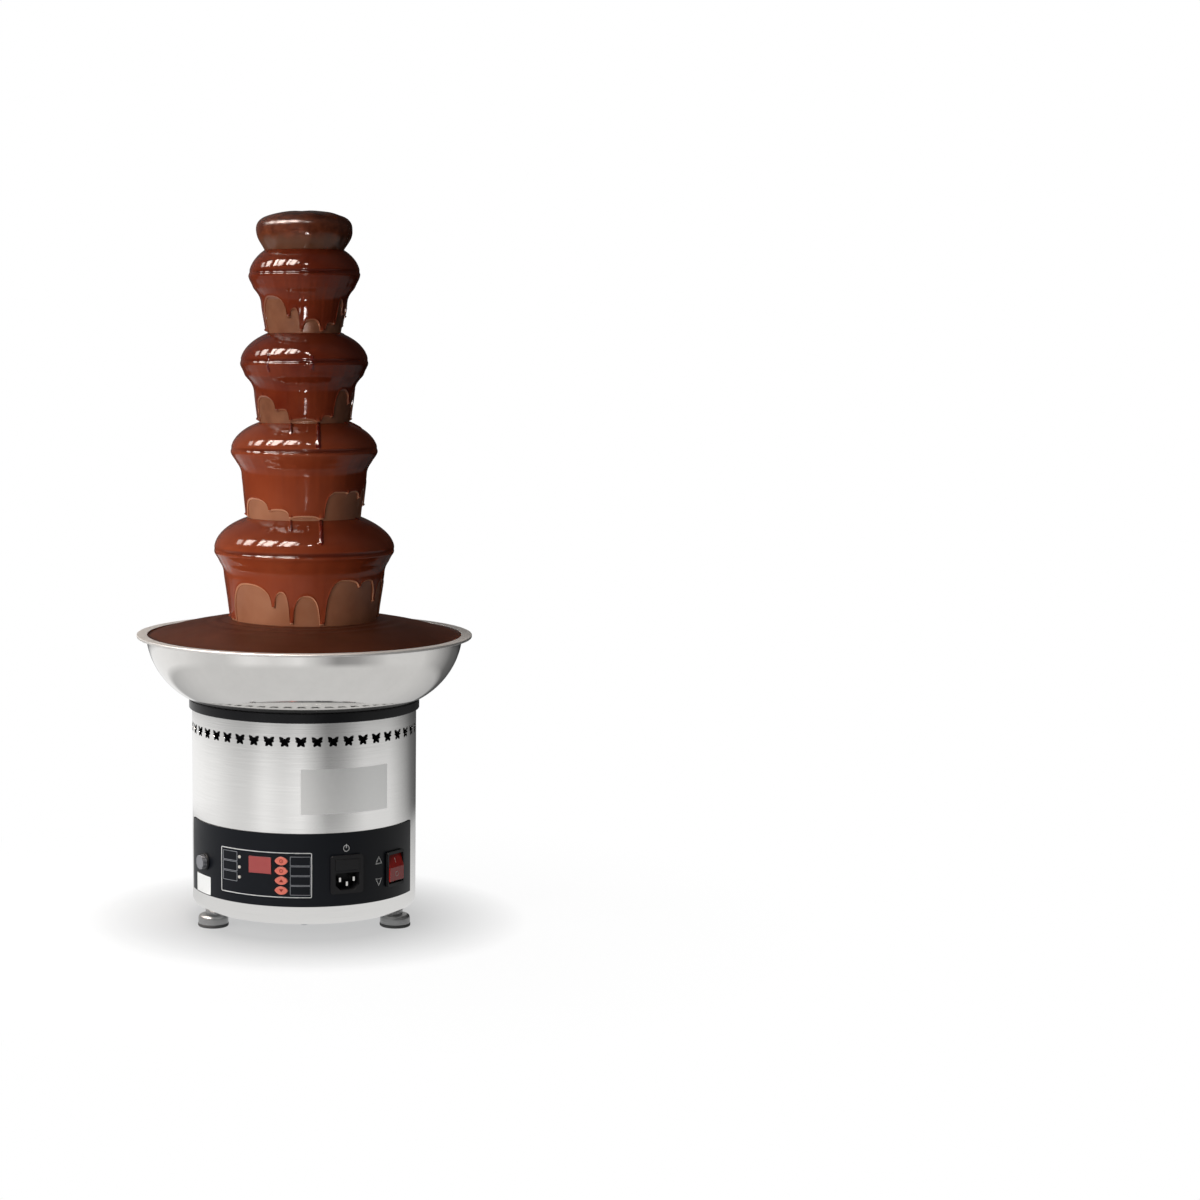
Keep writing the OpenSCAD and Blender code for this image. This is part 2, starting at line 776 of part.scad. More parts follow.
module gear_pillars() {
    lower_z = lower_plate_z + gear_plate_t;
    color(bright) for (sx = [-1, 1], sy = [-1, 1])
        translate(gear_plate_centre + [sx * pillar_reach[0], sy * pillar_reach[1]]) {
            translate([0, 0, lower_z]) cylinder(r = pillar_r, h = upper_plate_z - lower_z);
            translate([0, 0, upper_plate_z + gear_plate_t]) cylinder(r = pillar_r, h = pillar_h);
        }
}

module idler_pin() {
    color(bright) translate(idler_xy) translate([0, 0, lower_plate_z])
        cylinder(r = idler_pin_r, h = upper_plate_z + gear_plate_t - lower_plate_z);
}

module idler_gear() {
    top = slow_z + slow_face;
    color(white) difference() {
        translate(idler_xy) {
            translate([0, 0, fast_z]) linear_extrude(fast_face)
                gear_outline(fast_module, wheel_teeth, motor_angle);
            translate([0, 0, fast_z + fast_face]) linear_extrude(top - fast_z - fast_face)
                gear_outline(slow_module, pinion_teeth, idler_angle + 180 + 180 / pinion_teeth);
        }
        translate(idler_xy) hole(fast_z, top - fast_z, idler_pin_r + run_clear);
    }
}

module output_gear() {
    color(brass) difference() {
        translate([0, 0, slow_z]) linear_extrude(slow_face)
            gear_outline(slow_module, output_teeth, idler_angle);
        hole(slow_z, slow_face, drive_r + fixed_clear);
    }
}

module motor_pinion() {
    turn = motor_angle + 180 + 180 / pinion_teeth;
    color(brass) translate(motor_xy) difference() {
        translate([0, 0, fast_z]) linear_extrude(fast_face)
            gear_outline(fast_module, pinion_teeth, turn);
        hole(fast_z, fast_face, motor_shaft_r + fixed_clear);
    }
}

module motor_can() {
    bottom = lower_plate_z - motor_h;
    color(steel) translate(motor_xy) difference() {
        translate([0, 0, bottom]) cylinder(r = motor_r, h = motor_h);
        translate([0, 0, bottom + motor_wall])
            cylinder(r = motor_r - motor_wall, h = motor_h - 2 * motor_wall);
        hole(bottom, motor_h, motor_shaft_r + run_clear);
    }
}

module motor_rotor() {
    bottom = lower_plate_z - motor_h;
    core_h = motor_h - 4 * motor_wall;
    color(bright) translate(motor_xy) {
        translate([0, 0, bottom]) cylinder(r = motor_shaft_r, h = fast_z + fast_face - bottom);
        translate([0, 0, bottom + 2 * motor_wall]) cylinder(r = rotor_r, h = core_h);
    }
}

module drive_shaft() {
    color(bright) {
        translate([0, 0, lower_plate_z]) cylinder(r = drive_r, h = socket_z - lower_plate_z);
        translate([0, 0, socket_z - through]) cylinder(r = hex_r, h = hex_h + through, $fn = 6);
    }
}

module auger_shaft() {
    color(steel) difference() {
        union() {
            translate([0, 0, socket_z]) cylinder(r = socket_r, h = socket_h);
            translate([0, 0, socket_z]) cylinder(r = auger_r, h = auger_top - socket_z);
        }
        translate([0, 0, socket_z - through])
            cylinder(r = hex_r + slip_clear, h = hex_h + through + slip_clear, $fn = 6);
    }
}

module auger_flight() {
    half = flight_sector / 2;
    color(steel) translate([0, 0, flight_z])
        linear_extrude(flight_h, twist = -flight_turn, slices = flight_slices, $fn = 6)
            polygon(concat(arc([0, 0], flight_r, -half, half, 2), arc([0, 0], flight_in, half, -half, 2)));
}

// Tower

module tower_tube() {
    color(bright) difference() {
        union() {
            translate([0, 0, bowl_floor]) cylinder(r = tube_r, h = tube_top - bowl_floor);
            translate([0, 0, bowl_floor]) cylinder(r = flange_r, h = flange_t);
        }
        hole(bowl_floor, tube_top - bowl_floor, tube_r - tube_wall);
        for (a = port_angles) on_wall(a, bowl_floor + flange_t + port_sill + port_h / 2)
            outward(tube_r / 2, tube_r + through) square([port_w, port_h], center = true);
        at_pins() hole(bowl_floor, flange_t, pin_r + slip_clear);
    }
}

module tier_dish(i) {
    r = tier_rim_r[i] - dish_inset;
    rise = tier_rise[i] - dish_inset;
    inner_r = r - dish_t;
    inner_rise = rise - dish_t;
    inner_from = asin((hub_r - dish_t) / inner_r);
    color(bright) difference() {
        union() {
            rotate_extrude() polygon(concat(
                ellipse_arc(tier_z(i), r, rise, asin(hub_r / r), 90, curve_steps),
                ellipse_arc(tier_z(i), inner_r, inner_rise, 90, inner_from, curve_steps)));
            translate([0, 0, hub_z(i) - hub_h]) cylinder(r = hub_r, h = hub_h);
        }
        hole(hub_z(i) - hub_h, hub_h, tube_r + run_clear);
    }
}

module top_cup() {
    rim_r = crown_r - dish_inset;
    floor_r = tube_r + cup_t + run_clear;
    color(bright) rotate_extrude() polygon([
        [tube_r + run_clear, cup_collar_z], [floor_r + cup_t, cup_collar_z],
        [floor_r + cup_t, tube_top - cup_t], [rim_r, crown_z - 2 * cup_t], [rim_r, crown_z],
        [rim_r - cup_t, crown_z], [floor_r, tube_top], [tube_r + run_clear, tube_top]]);
}

// The drop from a rim to where the curtain lands
function curtain(r, z, waist_r, waist_drop, land) = concat(
    bezier([r, z], [r, z - curtain_fall * waist_drop],
        [waist_r + waist_spread, z - curtain_tuck * waist_drop],
        [waist_r, z - waist_drop], curve_steps), [land]);

module chocolate_flow(i) {
    r = tier_rim_r[i];
    z = tier_z(i);
    inner_r = r - film;
    inner_rise = tier_rise[i] - film;
    top_r = neck_r(i);
    top_rise = dome_z(i, top_r) - z;
    drop = curtain(r, z, tier_waist_r[i], tier_waist_drop[i], [tier_land_r[i], land_z(i)]);
    dome = ellipse_arc(z, r, tier_rise[i], asin(top_r / r), 90, curve_steps);
    under = ellipse_arc(z, inner_r, inner_rise, 90, acos(top_rise / inner_rise), curve_steps);
    color(chocolate) rotate_extrude() polygon(concat(
        [for (k = [0:len(dome) - 2]) dome[k]], drop, reversed(moved_in(drop, film)),
        [for (k = [1:len(under) - 1]) under[k]]));
}

module chocolate_crown() {
    drop = bezier([crown_r, crown_z], [crown_r, crown_z - crown_fall],
        [crown_land_r + crown_tuck[0], crown_z - crown_tuck[1]],
        [crown_land_r, crown_land_z], curve_steps);
    top = [for (k = [0:curve_steps - 1]) let (a = 90 * k / curve_steps)
        [crown_r * sin(a) ^ (2 / crown_power), crown_z + crown_rise * cos(a) ^ (2 / crown_power)]];
    color(chocolate) rotate_extrude() polygon(concat(top, drop, reversed(moved_in(drop, film)),
        [[crown_r - film, crown_under], [0, crown_under]]));
}

// Controls

module at_keys() {
    for (k = [0:key_count - 1]) key_place(k) children();
}

module key_place(k) {
    on_wall(key_angle, key_z + key_pitch * ((key_count - 1) / 2 - k)) children();
}

module at_lamps() {
    for (k = [-1:lamp_count - 2]) on_wall(lamp_angle, lamp_z + k * lamp_pitch) children();
}

module key_outline(grow) {
    translate([-key_w / 2 - grow, 0]) leaf(key_w + 2 * grow, key_h + 2 * grow);
}

module at_posts() {
    for (sx = [-1, 1], sz = [-1, 1])
        on_wall(board_angle, board_z + sz * post_reach[1]) translate([sx * post_reach[0], 0, 0]) children();
}

module control_panel() {
    color(black) {
        difference() {
            rotate([0, 0, panel_from - 90]) rotate_extrude(angle = panel_to - panel_from)
                translate([panel_in, panel_z]) square([panel_t, panel_h]);
            control_cutouts();
            at_keys() outward(cut_from, cut_to) key_outline(slip_clear);
            at_lamps() outward(cut_from, cut_to) circle(lamp_r + run_clear);
            on_wall(display_angle, display_z) outward(cut_from, cut_to)
                square([display_w, display_h] + 2 * [seat_clear, seat_clear], center = true);
        }
        intersection() {
            at_posts() outward(board_front, cut_to) circle(post_r);
            translate([0, 0, panel_z]) cylinder(r = panel_in + panel_t / 2, h = panel_h);
        }
    }
}

module control_board() {
    color(green) on_wall(board_angle, board_z) outward(board_n, board_front)
        square(board_size, center = true);
}

module display_lens() {
    color(clear_red) on_wall(display_angle, display_z) outward(lens_back, panel_out + seat_clear)
        square([display_w, display_h], center = true);
}

module display_module() {
    color(black) on_wall(board_angle, display_z) translate([display_side, 0, 0])
        outward(board_front, lens_back - lens_room)
            square([display_w - display_margin, display_h - display_margin], center = true);
}

module indicator_lamps() {
    color(white) at_lamps()
        outward(board_reach(lamp_angle, lamp_r) + slip_clear, panel_out + lamp_proud) circle(lamp_r);
}

module key(k) {
    stem_end = board_reach(key_angle, key_stem_r) + key_travel + stem_room / 2;
    color(coral) key_place(k) {
        outward(key_lip_front - key_lip_t, panel_out + key_proud) key_outline(0);
        outward(key_lip_front - key_lip_t, key_lip_front) key_outline(key_lip);
        outward(stem_end, key_lip_front - key_lip_t / 2) circle(key_stem_r);
    }
}

module inlet_outline() {
    half = inlet_size / 2;
    polygon([[-half[0], half[1]], [half[0], half[1]], [half[0], inlet_chamfer - half[1]],
        [half[0] - inlet_chamfer, -half[1]], [inlet_chamfer - half[0], -half[1]],
        [-half[0], inlet_chamfer - half[1]]]);
}

module at_blades() {
    for (p = [[-blade_side, blade_dz], [blade_side, blade_dz], [0, earth_dz]])
        translate([p[0], inlet_dz + p[1]]) children();
}

module power_inlet() {
    back = mains_front - mains_depth;
    color(black) on_wall(mains_angle, mains_z) difference() {
        union() {
            outward(bezel_back, mains_front) rounded_rect([mains_w, mains_h], bezel_round);
            outward(back, mains_front - through) square(mains_body, center = true);
        }
        outward(mains_front - inlet_depth, mains_front + through) translate([0, inlet_dz]) inlet_outline();
        outward(back - through, mains_front) at_blades()
            square(blade + 2 * [run_clear, run_clear], center = true);
        outward(mains_front - drawer_depth, mains_front + through) translate([0, drawer_dz])
            square(drawer_size + 2 * [slip_clear, slip_clear], center = true);
    }
}

module inlet_pins() {
    color(brass) on_wall(mains_angle, mains_z)
        outward(mains_front - mains_depth - blade_tail, mains_front - blade_set_back)
            at_blades() square(blade, center = true);
}

module fuse_drawer() {
    back = mains_front - drawer_depth + slip_clear;
    pocket = [mains_fuse_l, 2 * mains_fuse_r] + 2 * [slip_clear, slip_clear];
    color(black) on_wall(mains_angle, mains_z) difference() {
        outward(back, mains_front + drawer_proud) translate([0, drawer_dz])
            square(drawer_size, center = true);
        translate([-pocket[0] / 2, -drawer_fuse_n - pocket[1] / 2, drawer_dz - mains_fuse_r - seat_clear])
            cube([pocket[0], pocket[1], drawer_size[1]]);
    }
}

module drawer_fuse() {
    color(white) on_wall(mains_angle, mains_z)
        translate([-mains_fuse_l / 2, -drawer_fuse_n, drawer_dz])
            rotate([0, 90, 0]) cylinder(r = mains_fuse_r, h = mains_fuse_l);
}

module switch_frame() {
    back = switch_front - switch_depth;
    color(black) on_wall(switch_angle, switch_z) difference() {
        union() {
            outward(bezel_back, switch_front) rounded_rect([switch_w, switch_h], bezel_round);
            outward(back, switch_front - through) square(switch_body, center = true);
        }
        outward(back + switch_floor, switch_front + through)
            square([rocker_w + 2 * slip_clear, 2 * rocker_room], center = true);
        translate([-switch_w, -rocker_pivot, 0]) rotate([0, 90, 0])
            cylinder(r = rocker_pin_r + run_clear, h = 2 * switch_w);
    }
}

// At rest the upper half is pressed in
module rocker() {
    heel = rocker_half / 2;
    color(red) on_wall(switch_angle, switch_z) translate([0, -rocker_pivot, 0])
        rotate([-rocker_swing / 2, 0, 0]) {
            translate([-rocker_w / 2, 0, 0]) rotate([90, 0, 90]) linear_extrude(rocker_w)
                polygon([[-rocker_ridge, 0], [-rocker_edge, rocker_half],
                    [0, rocker_half - rocker_bevel], [rocker_heel, heel], [rocker_heel, -heel],
                    [0, rocker_bevel - rocker_half], [-rocker_edge, -rocker_half]]);
            translate([-rocker_pin_l, 0, 0]) rotate([0, 90, 0])
                cylinder(r = rocker_pin_r, h = 2 * rocker_pin_l);
        }
}

module fuse_holder() {
    front = bezel_back + fuse_flange_t;
    color(black) on_wall(fuse_angle, fuse_z) difference() {
        union() {
            outward(bezel_back, front) circle(fuse_flange_r);
            outward(front - fuse_depth, front - fuse_flange_t / 2) circle(fuse_body_r);
        }
        outward(front - fuse_bore_l, front + through) circle(fuse_bore_r);
    }
}

module fuse_cap() {
    front = bezel_back + fuse_flange_t + bezel_gap;
    color(black) on_wall(fuse_angle, fuse_z) {
        outward(front, front + fuse_cap_h) difference() {
            circle(fuse_cap_r);
            for (k = [0:grip_count - 1]) rotate(360 * k / grip_count)
                translate([fuse_cap_r + grip_r / 2, 0]) circle(grip_r);
        }
        outward(front - fuse_plug_l, front + fuse_cap_h / 2) circle(fuse_bore_r - run_clear);
    }
}

base_shell();
bottom_plate();
bottom_screws();
deck_pan();
bowl_ring();
bowl();
locating_pins();
seal_housing();
seal_nut();
shaft_seal();
heater_plate();
heater_element();
thermal_cutout();
gear_plate_upper();
gear_plate_lower();
gear_pillars();
idler_pin();
motor_can();
control_panel();
control_board();
display_lens();
display_module();
indicator_lamps();
power_inlet();
inlet_pins();
switch_frame();
fuse_holder();
chocolate_pool();
foot(foot_angles[0]);  // foot_left
foot(foot_angles[1]);  // foot_right
foot(foot_angles[2]);  // foot_rear
foot_pad(foot_angles[0]);  // foot_pad_left
foot_pad(foot_angles[1]);  // foot_pad_right
foot_pad(foot_angles[2]);  // foot_pad_rear
tower_tube();
top_cup();
for (i = [0:tiers - 1]) {
    tier_dish(i);
    chocolate_flow(i);
}
chocolate_crown();
auger_shaft();
auger_flight();
drive_shaft();
output_gear();
idler_gear();
motor_rotor();
motor_pinion();
rocker();
for (k = [0:key_count - 1])
    key(k);
fuse_cap();
fuse_drawer();
drawer_fuse();
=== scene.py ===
# %% [markdown]
# # A table chocolate fountain
# A round steel motor base carries a polished bowl, and warm chocolate runs from a cup at the top
# of the tower over domed tiers into the bowl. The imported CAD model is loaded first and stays
# fixed: it says where every piece is and which pieces move. This lesson gives those pieces
# their finish, and models what CAD solids leave plain, above all the running chocolate.

# %% Load the fixed frame
import bisect
import json
import math
import random

import bmesh
import bpy
from mathutils import Matrix, Vector

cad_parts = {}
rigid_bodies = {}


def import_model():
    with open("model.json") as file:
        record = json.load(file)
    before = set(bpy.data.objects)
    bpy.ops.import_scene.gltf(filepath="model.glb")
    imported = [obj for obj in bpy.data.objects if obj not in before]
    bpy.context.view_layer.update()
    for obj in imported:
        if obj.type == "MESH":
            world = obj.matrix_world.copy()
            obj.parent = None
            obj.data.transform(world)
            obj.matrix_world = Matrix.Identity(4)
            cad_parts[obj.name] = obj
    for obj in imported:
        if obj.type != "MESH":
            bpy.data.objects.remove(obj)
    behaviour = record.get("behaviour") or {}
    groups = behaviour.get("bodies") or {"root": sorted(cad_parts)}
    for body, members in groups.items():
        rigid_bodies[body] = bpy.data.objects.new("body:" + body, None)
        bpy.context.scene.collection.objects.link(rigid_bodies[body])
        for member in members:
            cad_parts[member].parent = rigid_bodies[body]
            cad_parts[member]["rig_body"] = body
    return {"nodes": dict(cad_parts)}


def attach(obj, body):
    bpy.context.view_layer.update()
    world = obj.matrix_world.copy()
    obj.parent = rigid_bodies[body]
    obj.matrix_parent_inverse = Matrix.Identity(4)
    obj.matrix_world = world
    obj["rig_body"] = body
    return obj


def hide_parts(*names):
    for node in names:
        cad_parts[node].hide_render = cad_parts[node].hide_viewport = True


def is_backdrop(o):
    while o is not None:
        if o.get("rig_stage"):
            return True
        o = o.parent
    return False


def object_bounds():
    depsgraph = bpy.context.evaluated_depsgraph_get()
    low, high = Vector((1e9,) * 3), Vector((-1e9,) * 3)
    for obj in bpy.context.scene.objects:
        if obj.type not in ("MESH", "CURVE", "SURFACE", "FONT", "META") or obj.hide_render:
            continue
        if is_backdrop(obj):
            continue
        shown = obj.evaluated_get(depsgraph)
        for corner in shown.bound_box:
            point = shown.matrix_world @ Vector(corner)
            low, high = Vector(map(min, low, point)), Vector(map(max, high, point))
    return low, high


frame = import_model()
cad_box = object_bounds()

MM = 0.001

# %% [markdown]
# ## Camera, floor and light
# The camera stands in front of the fountain, a little above the bowl, and looks slightly down.
# The fountain stands left of the middle of the picture, which a sideways lens shift gives
# without turning the camera. A shift keeps the tower upright, where a turn would lean it.

# %% Camera
scene = bpy.context.scene
scene.view_settings.view_transform = "Standard"
CAMERA_AT = Vector((0, -2.35, 0.571))
CAMERA_AIM = Vector((0, 0, 0.315))
lens = bpy.data.cameras.new("photo_camera")
lens.sensor_width = 36
lens.lens = 72.5
lens.shift_x = 0.2465
camera = bpy.data.objects.new("photo_camera", lens)
camera.location = CAMERA_AT
camera.rotation_euler = (CAMERA_AIM - CAMERA_AT).to_track_quat("-Z", "Y").to_euler()
scene.collection.objects.link(camera)
scene.camera = camera
print("camera at", tuple(CAMERA_AT))


# %% Colour and node helpers
def linear(code):
    """An sRGB hex colour as the linear RGBA that shaders take."""
    parts = [int(code[i:i + 2], 16) / 255 for i in (1, 3, 5)]
    return [c / 12.92 if c <= 0.04045 else ((c + 0.055) / 1.055) ** 2.4 for c in parts] + [1.0]


def add_node(tree, kind, inputs=None, **settings):
    """Adds a node; inputs gives sockets a value, or a link where the value is a socket."""
    node = tree.nodes.new(kind)
    for key, value in settings.items():
        setattr(node, key, value)
    for key, value in (inputs or {}).items():
        if isinstance(value, bpy.types.NodeSocket):
            tree.links.new(value, node.inputs[key])
        else:
            node.inputs[key].default_value = value
    return node


def maths(tree, operation, *values):
    """The result of a sum of numbers or sockets."""
    inputs = dict(enumerate(values))
    return add_node(tree, "ShaderNodeMath", inputs, operation=operation).outputs[0]


def mapped(tree, value, low, high, to_low=0.0, to_high=1.0, **settings):
    """A value carried from the span between low and high to another span."""
    spans = {"Value": value, "From Min": low, "From Max": high, "To Min": to_low, "To Max": to_high}
    return add_node(tree, "ShaderNodeMapRange", spans, **settings).outputs[0]


def mixed(tree, share, first, second):
    """A colour between two, nearer the second as the share grows."""
    inputs = {"Factor": share, 6: first, 7: second}
    return add_node(tree, "ShaderNodeMix", inputs, data_type="RGBA").outputs[2]


def mixed_shader(tree, share, first, second):
    """A shader between two, as with colours."""
    return add_node(tree, "ShaderNodeMixShader", {0: share, 1: first, 2: second}).outputs[0]


def glowing(tree, kind, colour, strength):
    """A shader that gives light of its own."""
    return add_node(tree, kind, {"Color": colour, "Strength": strength}).outputs[0]


def axis_of(tree, vector, axis):
    """One of a vector's three numbers."""
    return add_node(tree, "ShaderNodeSeparateXYZ", {0: vector}).outputs[axis]


WHITE = linear("#ffffff")
print("white in linear light:", WHITE)

# %% [markdown]
# The backdrop is white paper. The camera sees it white, and it lights the object only gently, so
# the lamps shape the forms and colours stay as written. Metal and wet chocolate show what stands
# round them, so for reflections the paper is brighter or greyer by direction, as in a studio
# where grey screens stand between white ones. Zero degrees is towards the camera.

# %% Screens round the studio
SCREENS = [
    (-180, "#a8a8a8"), (-160, "#fafafa"), (-125, "#ffffff"), (-98, "#f8f8f8"), (-70, "#e0e0e0"),
    (-55, "#e0e0e0"), (-38, "#ffffff"), (-20, "#eeeeee"), (-4, "#ffffff"), (6, "#e0e0e0"),
    (22, "#9a9a9a"), (36, "#a8a8a8"), (60, "#e6e6e6"), (92, "#e2e2e2"), (112, "#b4b4b4"),
    (134, "#6c6c6c"), (160, "#4c4c4c"), (180, "#a8a8a8")]


def screens(tree, vector):
    """The grey of the screen that stands in the direction of a vector from the object."""
    front = maths(tree, "MULTIPLY", axis_of(tree, vector, "Y"), -1.0)
    turn = maths(tree, "ARCTAN2", axis_of(tree, vector, "X"), front)
    ramp = add_node(tree, "ShaderNodeValToRGB", {0: mapped(tree, turn, -math.pi, math.pi)})
    stops = ramp.color_ramp.elements
    stops.remove(stops[1])
    for k, (angle, grey) in enumerate(SCREENS):
        stop = stops[0] if k == 0 else stops.new(0.5 + angle / 360)
        stop.position = 0.5 + angle / 360
        stop.color = linear(grey)
    return ramp.outputs[0]


def background_rays(tree):
    """One for rays from the camera or through glass, zero for others; and the same for gloss."""
    rays = add_node(tree, "ShaderNodeLightPath").outputs
    seen = maths(tree, "MAXIMUM", rays["Is Camera Ray"], rays["Is Transmission Ray"])
    return seen, rays["Is Glossy Ray"]


print("screens:", len(SCREENS), "stops round the object")

# %% World
AMBIENT = 0.1
world = bpy.data.worlds.new("white_studio")
scene.world = world
world.use_nodes = True
tree = world.node_tree
tree.nodes.clear()
seen, gloss = background_rays(tree)
way = add_node(tree, "ShaderNodeTexCoord").outputs["Generated"]
# In gloss the screens are dim low down, and the ceiling is paler
dim = mapped(tree, axis_of(tree, way, "Z"), 0.05, 0.8, 0.14, 0.28)
mirrored = glowing(tree, "ShaderNodeBackground", screens(tree, way), dim)
ambient = glowing(tree, "ShaderNodeBackground", WHITE, AMBIENT)
paper_white = glowing(tree, "ShaderNodeBackground", WHITE, 1.0)
lit = mixed_shader(tree, gloss, ambient, mirrored)
sky = mixed_shader(tree, seen, lit, paper_white)
add_node(tree, "ShaderNodeOutputWorld", {"Surface": sky})
print("world: ambient light", AMBIENT)

# %% [markdown]
# Near the object the floor is matt paper, so the shadow shows, and right under the base a shadow is
# also painted in. Further off it turns to plain white for the camera, and no horizon is seen.

# %% Floor
FLOOR_R = 6
paper = bpy.data.materials.new("white_backdrop_paper")
paper.use_nodes = True
tree = paper.node_tree
tree.nodes.clear()
seen, gloss = background_rays(tree)
spot = add_node(tree, "ShaderNodeTexCoord").outputs["Object"]
away = add_node(tree, "ShaderNodeVectorMath", {0: spot}, operation="LENGTH").outputs["Value"]
# What the camera sees: matt paper near the object, with a painted shadow right under the base,
# where its glow is weaker, then white
matt = add_node(tree, "ShaderNodeBsdfDiffuse", {"Color": linear("#646464")}).outputs[0]
shade = mapped(tree, away, 0.1, 0.22, 0.5, 0.93)
glow = glowing(tree, "ShaderNodeEmission", WHITE, shade)
near = add_node(tree, "ShaderNodeAddShader", {0: matt, 1: glow}).outputs[0]
plain_white = glowing(tree, "ShaderNodeEmission", WHITE, 1.0)
shown = mixed_shader(tree, mapped(tree, away, 0.2, 0.5), near, plain_white)
# What gloss sees: an even grey close to the object, darker behind, then the screens, then dark
behind = mapped(tree, axis_of(tree, spot, "Y"), 0.0, 0.35, 0.73, 0.5)
tone = mixed(tree, mapped(tree, away, 0.5, 0.62), behind, screens(tree, spot))
fade = mapped(tree, away, 1.2, 1.8, 1.0, 0.05)
mirrored = glowing(tree, "ShaderNodeEmission", tone, fade)
# A dark cloth round the stand would keep light off the underside: the paper throws little back
bounce = add_node(tree, "ShaderNodeBsdfDiffuse", {"Color": linear("#484848")}).outputs[0]
lit = mixed_shader(tree, gloss, bounce, mirrored)
pick = mixed_shader(tree, seen, lit, shown)
add_node(tree, "ShaderNodeOutputMaterial", {"Surface": pick})
bm = bmesh.new()
bmesh.ops.create_circle(bm, cap_ends=True, segments=96, radius=FLOOR_R)
mesh = bpy.data.meshes.new("floor")
bm.to_mesh(mesh)
bm.free()
mesh.materials.append(paper)
floor = bpy.data.objects.new("floor", mesh)
scene.collection.objects.link(floor)
floor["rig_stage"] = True
print("floor: a disc of white paper")

# %% [markdown]
# Soft boxes at the left light the object. What gloss shows is set apart from that, as a studio
# does with cards and strips: a slanting row of strips gives each dome its broken window
# highlight, a small one its dot, and a low one the streak down the upper necks. Ray visibility
# keeps each lamp to its own task.


# %% Lamps
TOWER_MIDDLE = 0.44
TOWER = (0, 0, TOWER_MIDDLE)
GLINT_AWAY = 1.7


def softbox(name, place, aim, size, power):
    """A soft box that lights surfaces but is not seen in gloss."""
    data = bpy.data.lights.new(name, "AREA")
    data.shape = "RECTANGLE"
    data.size, data.size_y = size
    data.energy = power
    lamp = bpy.data.objects.new(name, data)
    facing = (Vector(aim) - Vector(place)).to_track_quat("-Z", "Y").to_matrix().to_4x4()
    lamp.matrix_world = Matrix.Translation(place) @ facing
    lamp.visible_camera = False
    lamp.visible_glossy = False
    scene.collection.objects.link(lamp)
    return lamp


def only_in_gloss(lamp):
    lamp.visible_glossy = True
    lamp.visible_diffuse = False


def round_the_tower(angle, rise, distance):
    """A place at an angle from the front and a rise above the tower's middle, in degrees."""
    turn, up = math.radians(angle), math.radians(rise)
    level = distance * math.cos(up)
    return Vector((level * math.sin(turn), -level * math.cos(turn),
                   TOWER_MIDDLE + distance * math.sin(up)))


def glint(name, start, end, width, shine):
    """A strip that is only seen in gloss, between two directions and with a given brightness."""
    low, high = (round_the_tower(angle, rise, GLINT_AWAY) for angle, rise in (start, end))
    middle, along = (low + high) / 2, high - low
    lamp = softbox(name, middle, TOWER, (width, along.length),
                   shine * math.pi * width * along.length)
    back = (middle - Vector(TOWER)).normalized()
    side = along.cross(back).normalized()
    turned = Matrix((side, back.cross(side), back)).transposed().to_4x4()
    lamp.matrix_world = Matrix.Translation(middle) @ turned
    lamp.data.color = linear("#fff3ea")[:3]
    only_in_gloss(lamp)


PANES = [(-92, 8.0), (-68, 10.5), (-45, 12.0), (-22, 9.5)]
PANE_RISE, PANE_AWAY, PANE_SIZE = 5, 2.0, (0.44, 0.62)
for k, (angle, power) in enumerate(PANES):
    softbox(f"pane_{k + 1}", round_the_tower(angle, PANE_RISE, PANE_AWAY), TOWER, PANE_SIZE, power)
softbox("low_card", round_the_tower(-40, -11, 1.7), TOWER, (0.9, 0.12), 4)
softbox("fill_right", (1.7, -1.3, 0.7), (0, 0, 0.35), (0.8, 1.2), 0.6)
softbox("back", (-0.6, 1.6, 2.2), (0, 0, 0.3), (1.0, 0.8), 12)
softbox("back_low", (0.9, 1.8, 0.6), (0, 0, 0.4), (0.9, 1.0), 7)
# Each strip: the angle and rise of its two ends, its width in metres and its brightness
WINDOW = [((-104, 28), (-116, 38), 0.2, 18), ((-90, 33), (-104, 48), 0.28, 46),
          ((-72, 39), (-88, 57), 0.14, 84), ((-60, 42), (-72, 62), 0.3, 76),
          ((-41, 46), (-47, 67), 0.11, 96), ((-29, 48), (-30, 68), 0.24, 84),
          ((-14, 52), (-13, 62), 0.08, 66)]
for k, strip in enumerate(WINDOW):
    glint(f"window_{k + 1}", *strip)
glint("dot", (8, 50), (8, 54), 0.12, 160)
# The streak's strip shines only in a narrow cone, which reaches no lower than the third tier
streak = softbox("streak", (0.03, -1.2, 0.15), (0, 0, 0.65), (0.4, 0.3), 0.24)
streak.data.spread = math.radians(11)
only_in_gloss(streak)

# %% [markdown]
# ## Finishes
# Every finish starts from the real material. One function builds the ones that differ only in
# colour, grain and gloss: a noise of a real size varies the colour, the roughness and a slight
# relief, stretched along one direction for brushed metal.


# %% A finish with grain
def new_skin(name):
    """A new material, its node tree, its shader, and the place on the object in metres."""
    material = bpy.data.materials.new(name)
    material.use_nodes = True
    tree = material.node_tree
    place = add_node(tree, "ShaderNodeTexCoord").outputs["Object"]
    return material, tree, tree.nodes["Principled BSDF"], place


def speckle(tree, place, size, detail, roughness=0.5):
    """A noise with spots of about a size in mm."""
    inputs = {"Vector": place, "Scale": 1 / (size * MM), "Detail": detail,
              "Roughness": roughness}
    return add_node(tree, "ShaderNodeTexNoise", inputs).outputs["Fac"]


